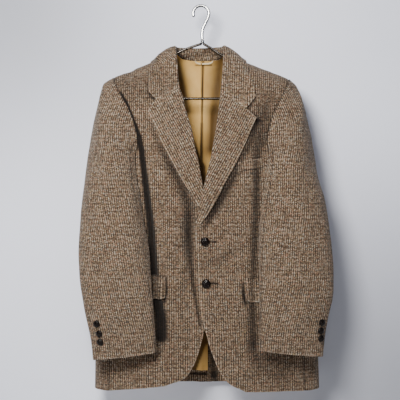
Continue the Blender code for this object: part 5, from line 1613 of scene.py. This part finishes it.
def sleeves(side, cloths):
    """A two-piece sleeve, its top sleeve eased a little into the armhole."""
    word = SIDE_NAMES[side]
    points, depth, drop = (
        finer(finer(values, SLEEVE_DOWN), SLEEVE_ACROSS, 1, wrap=True) for values in sleeve_grid(side)
    )
    inward = side * points[..., 0]
    inmost = np.min(np.where(depth > -0.5, inward, 1e6), axis=1, keepdims=True)
    drawn = eased(1 - (inward - inmost) / 45) * eased(1.2 * (depth + 0.5))
    heights, amounts = np.transpose(SLEEVE_TUCK[side])
    points[..., 0] += side * drawn * np.interp(points[..., 2], heights, amounts)
    points[:, -1] = points[:, 0]
    plain = points.copy()
    x, z = points[..., 0], points[..., 2]
    front = eased(depth)
    behind = eased(-depth)
    shift = line_strength(SLEEVE_FOLDS[side], x, z) * front
    shift += 0.55 * line_strength(SLEEVE_CREASES[side], x, z) * front
    shift += 0.5 * line_strength(SLEEVE_CREASES[side], x + side * 9, z + 24) * behind
    shift += waver(x + 40 * side, z + 70) * 0.8
    fade = np.clip(drop / 60, 0, 1)
    count = points.shape[1]
    eased_in = np.exp(-drop / 9.0) * 0.12 * np.sin(np.linspace(0, 2 * math.pi * 26, count))[None, :]
    cap = eased(np.sin(np.radians(np.linspace(0, 360, count)))[None, :] * 2)
    roll = 0.5 * cap * np.exp(-((drop - 12) / 8) ** 2)
    shift = shift * fade + eased_in * cap + roll
    points = points + tube_normals(points, side) * shift[..., None]
    outward = tube_normals(points, side)
    half = sorted(ARMHOLE).index(180) * SLEEVE_ACROSS
    top_sleeve = None
    for name, piece in (("top_sleeve", slice(0, half + 1)), ("under_sleeve", slice(half, None))):
        inner = points[:, piece].copy()
        normals = outward[:, piece]
        dip = seam_dips(inner.shape[:2], ("first", "last"), 2.0)
        for end, neighbour in ((0, 1), (-1, -2)):
            inner[:, end] += unit(inner[:, neighbour] - inner[:, end]) * SEAM_GAP * 0.4
        outer = inner + normals * (TWEED - dip)[..., None]
        inner = inner - normals * (0.4 * dip)[..., None]
        across = level_girth(plain[:, piece], inner.shape[1] // 2)
        uv = np.stack([across * side, plain[:, piece, 2]], -1)
        # A pale cuff edge, partly wear and partly painted highlight, and darker seams as painted shade
        wear_and_painted_light = edge_wear_and_painted_light(outer, ("low",), ("first", "last", "top"), 2.0)
        lined = outer[:-1, :-1, 2] > min(CUFF_Z[side]) + HEM_TURN
        lined &= outer[:-1, :-1, 2] < SLEEVE_LINED_FROM
        lined[:, :3] = lined[:, -3:] = False
        made = cloth(
            f"{name}_{word}", "tweed", outer, inner, uv, cloths["tweed sleeve"], cloths["lining"],
            lined, wear_and_painted_light=wear_and_painted_light,
        )
        top_sleeve = top_sleeve or made
    return top_sleeve


# Pockets, loop, buttons


def laid_grid(surface, x, z, low_level, wall):
    """A laid piece's outer and inner grids and its grain, matched to the panel it lies on."""
    inner, normals = place(surface, x, z)
    inner = inner + normals * low_level[..., None]
    crown = wall * (0.55 + 0.45 * np.sin(np.linspace(0, math.pi, x.shape[1])) ** 0.3)
    outer = inner + normals * crown[None, :, None]
    angle = angle_at(x, z, False)
    return outer, inner, body_cloth(angle, run_at(angle, z))


def pocket_flap(side, cloths):
    word = SIDE_NAMES[side]
    front_x, outer_x, top_z, rise, depth = FLAPS[side]
    columns = 10 * FLAP_ACROSS
    across = eased(even(columns)) * 0.5 + even(columns) * 0.5
    x = lerp(front_x, outer_x, across)
    from_end = np.minimum(np.abs(x - front_x), np.abs(x - outer_x))
    corner = np.clip(1 - from_end / FLAP_CORNER, 0, 1)
    length = depth - FLAP_CORNER * (1 - np.sqrt(1 - corner**2))
    down = even(4 * FLAP_DOWN)[:, None]
    z = top_z + rise * across[None, :] - length[None, :] * down
    bow = 0.7 * np.sin(across * 3 * math.pi + 0.6)[None, :] * down**2
    level = LAID_GAP + FLAP_LIFT * down + bow
    surface = SURFACES[f"front_{word}"]
    outer, inner, uv = laid_grid(surface, np.broadcast_to(x, z.shape), z, level, FLAP_WALL)
    # Pale edges, partly wear and partly painted highlight, and a darker top seam as painted shade
    wear_and_painted_light = 1.5 * edge_wear_and_painted_light(outer, ("first", "last", "low"), ("top",), 2.2)
    # Painted shade on the flap, from the fronts' hollows
    painted_shade = 0.35 * hollow(outer[..., 0], outer[..., 2], 4)
    cloth(f"flap_{word}", "tweed", outer, inner, uv, cloths["tweed body"], wear_and_painted_light=wear_and_painted_light, painted_shade=painted_shade)
    return outer


def breast_welt(cloths):
    across = even(44)[None, :]
    down = even(20)[:, None]
    x = lerp(WELT_FROM_X, WELT_TO_X, across) + 0 * down
    z = WELT_TOP_Z + WELT_RISE * across - WELT_DEPTH * down
    level = np.full_like(z, LAID_GAP) + 0.5 * (1 - down) ** 3
    outer, inner, uv = laid_grid(SURFACES["front_left"], x, z, level, TWEED)
    # Pale edges, partly wear and partly painted highlight, and a darker lower seam as painted shade
    wear_and_painted_light = edge_wear_and_painted_light(outer, ("top", "first", "last"), ("low",))
    # Painted shade on the welt, from the fronts' hollows
    painted_shade = 0.6 * hollow(outer[..., 0], outer[..., 2], 4)
    cloth("breast_welt", "tweed", outer, inner, uv, cloths["tweed body"], wear_and_painted_light=wear_and_painted_light, painted_shade=painted_shade)


def hanging_loop(cloths):
    """The tape across the back neck, slack, its two ends turned under."""
    across = even(60)[None, :]
    down = even(5)[:, None]
    x = lerp(LOOP_FROM_X, LOOP_TO_X, across) + 0 * down
    sag = LOOP_SAG * (1 - (2 * across - 1) ** 4)
    z = LOOP_Z + LOOP_LIFT - sag - LOOP_WIDTH * down
    points, normals = place(SURFACES["plain"], x, z, True)
    outer = points - normals * (TWEED + 2 * LINING_GAP + LINING)
    inner = outer - normals * LOOP_WALL
    uv = np.stack([x, z], -1)
    cloth(
        "hanging_loop", "loop_tape", outer, inner, uv, cloths["tape"], round_by=THIN_EDGE_ROUND,
        kind="tape",
    )


def button_dome(node, centre, normal, size, turn, material):
    """A knotted leather button: a dome of strips that pass over and under each other."""
    diameter, height = size
    rings, sides = 22, 56
    part = even(rings)[1:, None]
    around = np.linspace(0, 2 * math.pi, sides, endpoint=False)[None, :] + turn
    reach = np.sin(part * math.pi / 2 * 1.12)
    p, q = reach * np.cos(around), reach * np.sin(around)
    strips = BUTTON_STRIPS / 2
    column, row = (p + 1) * strips, (q + 1) * strips
    over = (np.floor(column) + np.floor(row)) % 2
    along_strip = np.where(over == 1, column, row) % 1
    across_strip = np.where(over == 1, row, column) % 1
    crown = np.sqrt(np.clip(1 - (2 * across_strip - 1) ** 2, 0, 1))
    arch = np.sin(math.pi * along_strip)
    relief = (0.35 + 0.65 * arch) * crown * eased((1 - part) * 4 + 0.3)
    dome = np.cos(part * math.pi / 2 * 1.12)
    radius = diameter / 2 * (0.93 + 0.07 * relief) * reach
    level = height * (0.3 + 0.6 * dome + 0.11 * relief)
    x, y = radius * np.cos(around - turn), radius * np.sin(around - turn)
    upper = np.stack([x, y, level + 0 * x], -1)
    skirt = upper[-1] * np.array([0.86, 0.86, 1.0])
    skirt[:, 2] = 0.0
    points = np.concatenate([[[0, 0, height * 0.98]], upper.reshape(-1, 3), skirt, [[0, 0, 0.0]]])
    index = np.arange(rings * sides).reshape(rings, sides) + 1
    faces = [(0, index[0, k], index[0, (k + 1) % sides]) for k in range(sides)]
    for ring in range(rings - 1):
        for k in range(sides):
            other = (k + 1) % sides
            faces.append(
                (index[ring, k], index[ring + 1, k], index[ring + 1, other], index[ring, other])
            )
    last = len(points) - 1
    faces += [(last, index[-1, (k + 1) % sides], index[-1, k]) for k in range(sides)]
    turned = Vector(normal).to_track_quat("Z", "Y").to_matrix().to_4x4()
    matrix = np.array(Matrix.Translation(Vector(centre)) @ turned)
    placed = points @ matrix[:3, :3].T + matrix[:3, 3]
    faces = [tuple(int(v) for v in face) for face in faces]
    made = plain_object(f"{node}_knot", placed, faces, None, [material])
    finish_piece(made, "button_leather", node)


def seat_on(obj, x, z):
    """The point and normal of a made piece where a line from the front meets it."""
    mesh = obj.data
    tree = BVHTree.FromPolygons(
        [vertex.co for vertex in mesh.vertices], [tuple(face.vertices) for face in mesh.polygons]
    )
    hit, normal, _, _ = tree.ray_cast(Vector((x, -400, z)) * MM, Vector((0, 1, 0)))
    normal = np.array(normal)
    if normal[1] > 0:
        normal = -normal
    return np.array(hit) / MM, normal


def buttons(top_sleeves, cloths):
    leather = cloths["leather"]
    for index, (x, z) in enumerate(FRONT_BUTTONS, 1):
        centre, normal = place(SURFACES["front_left"], x, z, level=LAID_GAP + 0.1)
        button_dome(f"front_button_{index}", centre, normal, FRONT_BUTTON, 0.3 + index, leather)
    for side, top_sleeve in top_sleeves.items():
        for index, (x, z) in enumerate(CUFF_BUTTONS[side], 1):
            hit, normal = seat_on(top_sleeve, x, z)
            node = f"cuff_button_{SIDE_NAMES[side]}_{index}"
            button_dome(node, hit + normal * 0.3, normal, CUFF_BUTTON, 0.9 * index, leather)


# Hanger


def bent_wire(name, runs, radius, material, *nodes):
    """Round wire along runs of points, with rounded ends."""
    points, faces = [], []
    for run in runs:
        run = np.asarray(run, float)
        tangent = unit(np.gradient(run, axis=0))
        side_way = unit(np.cross(tangent, np.array([0.0, 1.0, 0.0])))
        front_way = np.cross(side_way, tangent)
        turn = np.linspace(0, 2 * math.pi, WIRE_SIDES, endpoint=False)
        circle = (
            np.cos(turn)[None, :, None] * side_way[:, None]
            + np.sin(turn)[None, :, None] * front_way[:, None]
        )
        rings = [run[0] - tangent[0] * radius * 0.55 + circle[0] * radius * 0.6]
        rings += [run[k] + circle[k] * radius for k in range(len(run))]
        rings += [run[-1] + tangent[-1] * radius * 0.55 + circle[-1] * radius * 0.6]
        start = len(points)
        points += [tuple(p) for ring in rings for p in ring]
        count = len(rings)
        for k in range(count - 1):
            for j in range(WIRE_SIDES):
                a, b = start + k * WIRE_SIDES + j, start + k * WIRE_SIDES + (j + 1) % WIRE_SIDES
                faces.append((a, a + WIRE_SIDES, b + WIRE_SIDES, b))
        for ring, order in ((0, -1), (count - 1, 1)):
            loop = [start + ring * WIRE_SIDES + j for j in range(WIRE_SIDES)]
            faces.append(tuple(loop[::order]))
    made = plain_object(name, points, faces, None, [material])
    outward_faces(made)
    finish_piece(made, "hanger_chrome", *nodes)


def outward_faces(obj):
    shape = bmesh.new()
    shape.from_mesh(obj.data)
    bmesh.ops.recalc_face_normals(shape, faces=shape.faces)
    shape.to_mesh(obj.data)
    shape.free()


def flat_run(pairs):
    return np.array([(x, 0.0, z) for x, z in pairs])


def hanger(cloths):
    chrome, dull = cloths["chrome"], cloths["dull steel"]
    centre_z = HOOK_WIRE / 2 - HOOK_RADIUS
    turns = np.radians(np.linspace(HOOK_TIP_ANGLE, HOOK_STEM_ANGLE, 60))
    arc = [
        (HOOK_CENTRE_X + HOOK_RADIUS * math.cos(turn), centre_z + HOOK_RADIUS * math.sin(turn))
        for turn in turns
    ]
    stem = along([arc[-1], *HOOK_STEM], 40)[1:]
    hook = flat_run(arc + list(stem))
    bent_wire("hanger_hook_wire", [hook], HOOK_WIRE / 2 + WIRE_PLATING, chrome, "hanger_hook")
    halves = {}
    for side in (LEFT, RIGHT):
        under_x = side * np.linspace(ARM_UNDER_FROM, ARM_UNDER_TO, ARM_UNDER_STEPS)
        under_z = smooth_table(RIDGE, under_x, 1) - ARM_BELOW_RIDGE
        under = list(zip(under_x, under_z))
        run = along([*ARM_VISIBLE[side], under[0]], 6)
        radius = (under_z[-1] - BAR_Z) / 2
        corner = [
            (
                under_x[-1] + side * radius * math.sin(turn),
                under_z[-1] - radius * (1 - math.cos(turn)),
            )
            for turn in np.linspace(0, math.pi, FRAME_CORNER_STEPS + 1)[1:]
        ]
        halves[side] = list(run[:-1]) + under + corner
    run = finer(flat_run(halves[RIGHT] + halves[LEFT][::-1]), 6)
    bent_wire("hanger_frame_wire", [run], FRAME_WIRE / 2 + WIRE_PLATING, dull, "hanger_frame")
    height = even(26)
    coils = []
    for step in range(FERRULE_COILS):
        turn = 2 * math.pi * height
        level = FERRULE_TOP_Z - FERRULE_HEIGHT * (0.2 + 0.3 * step) - 1.6 * height
        reach = FERRULE_DIAMETER / 2 - 0.9
        coils.append(np.stack([APEX_X + reach * np.cos(turn), reach * np.sin(turn), level], -1))
    core = flat_run([(APEX_X, FERRULE_TOP_Z - 0.6), (APEX_X, FERRULE_TOP_Z - FERRULE_HEIGHT + 0.6)])
    bent_wire("hanger_ferrule_core", [core], FERRULE_DIAMETER / 2 - 1.0, chrome, "hanger_ferrule")
    bent_wire("hanger_ferrule_coil", coils, COIL_RADIUS, chrome)


# Sewing


STITCH_SIZES = ("Spacing", "Stitch length", "Thread radius")


def stitch_tree():
    """Geometry Nodes that lay one stitch after another along each path."""
    tree = bpy.data.node_groups.new("stitches along a path", "GeometryNodeTree")
    face = tree.interface
    face.new_socket("Paths", in_out="INPUT", socket_type="NodeSocketGeometry")
    for name in (*STITCH_SIZES, "Slant"):
        face.new_socket(name, in_out="INPUT", socket_type="NodeSocketFloat")
    face.new_socket("Thread", in_out="INPUT", socket_type="NodeSocketMaterial")
    face.new_socket("Stitches", in_out="OUTPUT", socket_type="NodeSocketGeometry")
    sizes_in = add(tree, "NodeGroupInput")
    paths = add(
        tree, "GeometryNodeCurveToPoints", {"Curve": sizes_in["Paths"], "Length": sizes_in["Spacing"]},
        mode="LENGTH",
    )
    thread = add(
        tree, "GeometryNodeMeshUVSphere", {"Radius": sizes_in["Thread radius"]},
        {"Segments": 6, "Rings": 5},
    )
    ratio = add(
        tree, "Math", {0: sizes_in["Stitch length"], 1: sizes_in["Thread radius"]}, operation="DIVIDE"
    )
    half_ratio = add(tree, "Math", {0: ratio[0]}, {1: 0.5}, operation="MULTIPLY")
    stretch = add(tree, "CombineXYZ", {2: half_ratio[0]}, {0: 1.0, 1: 1.0})
    slant = add(tree, "CombineXYZ", {1: sizes_in["Slant"]})
    leaning = add(
        tree, "FunctionNodeRotateEuler", {"Rotation": paths["Rotation"], "Rotate By": slant[0]},
        rotation_type="EULER", space="LOCAL",
    )
    laid = add(
        tree, "GeometryNodeInstanceOnPoints",
        {
            "Points": paths["Points"], "Instance": thread["Mesh"], "Rotation": leaning[0],
            "Scale": stretch[0],
        },
    )
    solid = add(tree, "GeometryNodeRealizeInstances", {0: laid[0]})
    finished = add(tree, "GeometryNodeSetMaterial", {0: solid[0], "Material": sizes_in["Thread"]})
    smooth = add(tree, "GeometryNodeSetShadeSmooth", {0: finished[0]})
    add(tree, "NodeGroupOutput", {0: smooth[0]})
    return tree


def sew(name, tree, runs, sizes, slant, thread, slot):
    """Stitches of these sizes along runs of points, in millimetres, as one plain mesh."""
    curve = bpy.data.curves.new(name, "CURVE")
    curve.dimensions = "3D"
    for run in runs:
        spline = curve.splines.new("POLY")
        spline.points.add(len(run) - 1)
        flat = np.concatenate([np.asarray(run) * MM, np.ones((len(run), 1))], axis=1)
        spline.points.foreach_set("co", flat.astype(np.float32).ravel())
    path = new_object(name + "_path", curve)
    modifier = path.modifiers.new("stitches", "NODES")
    modifier.node_group = tree
    values = {label: size * MM for label, size in zip(STITCH_SIZES, sizes)}
    values |= {"Slant": slant, "Thread": thread}
    for item in tree.interface.items_tree:
        if item.in_out == "INPUT" and item.name in values:
            modifier[item.identifier] = values[item.name]
    graph = bpy.context.evaluated_depsgraph_get()
    evaluated = path.evaluated_get(graph)
    mesh = bpy.data.meshes.new_from_object(evaluated, depsgraph=graph)
    bpy.data.objects.remove(path)
    bpy.data.curves.remove(curve)
    mesh.name = name
    finish_piece(new_object(name, mesh), slot)


def inset_line(grid, from_edge, lift):
    """A line on a turned piece's face, this far in from its outer edge."""
    flipped, ways = grid[:, ::-1], facing_out(grid_normals(grid))[:, ::-1]
    distance = run_across(flipped)
    line = []
    for row in range(len(grid)):
        column = min(int(np.searchsorted(distance[row], from_edge)), grid.shape[1] - 1)
        line.append(flipped[row, column] + ways[row, column] * (TWEED / 2 + lift))
    return np.array(line)


def buttonhole(x, z, slope):
    """The run of a buttonhole's edge on the left front: a slot with a round eye."""
    length, half, eye = BUTTONHOLE_LENGTH, 0.9, 1.9
    turn = np.linspace(-2.5, 2.5, 14)
    right = [(length + eye * math.cos(t), eye * math.sin(t)) for t in turn]
    left = [(0.0, half), (-0.8, 0.0), (0.0, -half)]
    straight = np.linspace(0, length - 1.5, 12)
    outline = [(s, -half) for s in straight] + right + [(s, half) for s in straight[::-1]] + left
    pairs = np.array([(x + a, z + b + slope * a) for a, b in outline])
    points, _ = place(SURFACES["front_left"], pairs[:, 0], pairs[:, 1], level=0.15)
    return points


def sewing(cloths, turned_grids, flap_grids):
    tree = stitch_tree()
    runs = [inset_line(grid, PICK_INSET, 0.02) for grid in turned_grids]
    for grid in flap_grids:
        runs.append(np.concatenate([grid[2:-5, 6], grid[-5, 6:-6], grid[2:-5, -6][::-1]]))
    for side in (LEFT, RIGHT):
        edge = FRONT_EDGES[side]
        z = np.linspace(BREAK_Z - 4, edge[-1, 0] + 3, 160)
        x = smooth_table(edge, z, 1) + side * PICK_INSET
        points, _ = place(SURFACES[f"front_{SIDE_NAMES[side]}"], x, z, level=0.05)
        runs.append(points)
    sizes = (PICK_SPACING, 1.9, 0.22)
    sew("pick_stitching", tree, runs, sizes, 0.0, cloths["brown thread"], "tweed")
    holes = [buttonhole(x - 3, z + 1.5, -0.06) for x, z in FRONT_BUTTONS]
    sizes, across = (0.75, 1.9, 0.42), math.pi / 2
    sew("buttonhole_stitching", tree, holes, sizes, across, cloths["dark thread"], "tweed")
    sewn = []
    for end_x in (LOOP_FROM_X + 1.2, LOOP_TO_X - 1.2):
        z = np.linspace(-0.4, 0.2 - LOOP_WIDTH, 6) + LOOP_Z + LOOP_LIFT
        points, normals = place(SURFACES["plain"], np.full(6, end_x), z, True)
        sewn.append(points - normals * (TWEED + 2 * LINING_GAP + LINING + LOOP_WALL + 0.1))
    sizes = (0.8, 1.6, 0.2)
    sew("loop_tacks", tree, sewn, sizes, across, cloths["cream thread"], "loop_tape")


# Attaching pieces and hiding their solids


def finish_piece(obj, slot, *nodes):
    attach(obj, "root")
    if nodes:
        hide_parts(*nodes)


def finish_sheet(obj, node, slot):
    finish_piece(obj, slot, node)


# The wall, the floor, light and camera


def stage_plane(name, corners, material):
    mesh = bpy.data.meshes.new(name)
    mesh.from_pydata(corners, [], [(0, 1, 2, 3)])
    mesh.materials.append(material)
    obj = new_object(name, mesh)
    return obj


def wall_material():
    """Eggshell paint on plaster: matt, with a faint unevenness. From behind it isn't there."""
    made, tree, shader = new_material(
        "pale painted wall", {"Roughness": 0.75, "Specular IOR Level": 0.25}
    )
    place_in = add(tree, "TexCoord")["Object"]
    uneven = noise(tree, place_in, 2.2, 3.0)
    paint = ramp(tree, uneven, ((0.35, WALL_SHADE), (0.65, WALL_PALE)))
    # Painted shade: the wall darkens towards two corners
    for x, z, reach, level in WALL_PAINTED_SHADE_CORNERS:
        away = add(
            tree, "VectorMath", {0: place_in}, {1: (x, WALL_Y, z)}, operation="DISTANCE"
        )["Value"]
        kept = mapped(tree, away, 0.0, reach, level, 1.0, interpolation_type="SMOOTHSTEP")
        links = {0: paint, "Scale": kept}
        paint = add(tree, "VectorMath", links, operation="SCALE")[0]
    tree.links.new(paint, shader.inputs["Base Color"])
    clear = add(tree, "BsdfTransparent")
    behind = add(tree, "NewGeometry")["Backfacing"]
    seen = add(tree, "MixShader", {0: behind, 1: shader.outputs[0], 2: clear[0]})
    output = next(node for node in tree.nodes if node.type == "OUTPUT_MATERIAL")
    tree.links.new(seen[0], output.inputs["Surface"])
    return made


def floor_material():
    """Matt floor paint, pale, with a faint unevenness."""
    made, tree, shader = new_material("pale matt floor", {"Roughness": 0.7})
    uneven = noise(tree, add(tree, "TexCoord")["Object"], 1.4)
    shade = ramp(tree, uneven, ((0.3, FLOOR_SHADE), (0.7, FLOOR_PALE)))
    tree.links.new(shade, shader.inputs["Base Color"])
    return made


def area_light(name, place_at, towards, size, power, tint):
    data = bpy.data.lights.new(name, "AREA")
    data.shape, data.size = "DISK", size
    data.energy = power
    data.color = colour(tint)[:3]
    obj = new_object(name, data)
    obj.location = place_at
    obj.rotation_euler = (Vector(towards) - Vector(place_at)).to_track_quat("-Z", "Y").to_euler()


def stage():
    side, top, low, y = 4.0, 3.0, FLOOR_Z, WALL_Y
    wall = stage_plane(
        "wall", [(-side, y, low), (side, y, low), (side, y, top), (-side, y, top)], wall_material()
    )
    wall.visible_shadow = False
    stage_plane("floor", [(-6, -6, low), (6, -6, low), (6, 6, low), (-6, 6, low)], floor_material())
    world = bpy.data.worlds.new("soft room")
    bpy.context.scene.world = world
    world.use_nodes = True
    background = world.node_tree.nodes["Background"]
    background.inputs["Color"].default_value = colour(ROOM_TINT)
    background.inputs["Strength"].default_value = ROOM_STRENGTH
    for name, place_at, *look in LIGHTS:
        area_light(name, place_at, JACKET_MIDDLE, *look)
    camera = bpy.data.cameras.new("camera")
    camera.lens, camera.sensor_width = CAMERA_LENS_MM, 36.0
    obj = new_object("camera", camera)
    obj.location = CAMERA_AT
    obj.rotation_euler = (math.pi / 2, 0.0, 0.0)
    bpy.context.scene.camera = obj


def build():
    cloths = {
        "tweed body": tweed_material("woollen tweed, body", BODY_TONE),
        "tweed sleeve": tweed_material("woollen tweed, sleeves", SLEEVE_TONE),
        "tweed lapel": tweed_material("woollen tweed, lapels", LAPEL_TONE),
        "tweed collar": tweed_material("woollen tweed, collar", COLLAR_TONE),
        "lining": lining_material(), "leather": leather_material(),
        "chrome": steel_material("chromium plate", CHROME_DARK, CHROME_BRIGHT, 0.2),
        "dull steel": steel_material("dulled steel wire", STEEL_DARK, STEEL_PALE, 0.2),
        "tape": tape_material(), "brown thread": thread_material("brown sewing silk", *BROWN_SILK),
        "dark thread": thread_material("dark buttonhole twist", *DARK_TWIST),
        "cream thread": thread_material("cream cotton thread", *CREAM_THREAD),
    }
    top_sleeves, flap_grids = {}, []
    for side in (LEFT, RIGHT):
        body_pieces(side, cloths)
        lining_piece(side, cloths)
        top_sleeves[side] = sleeves(side, cloths)
        flap_grids.append(pocket_flap(side, cloths))
    turned_grids = lapels_and_collar(cloths)
    breast_welt(cloths)
    hanging_loop(cloths)
    buttons(top_sleeves, cloths)
    hanger(cloths)
    sewing(cloths, turned_grids, flap_grids)
    stage()


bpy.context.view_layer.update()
build()
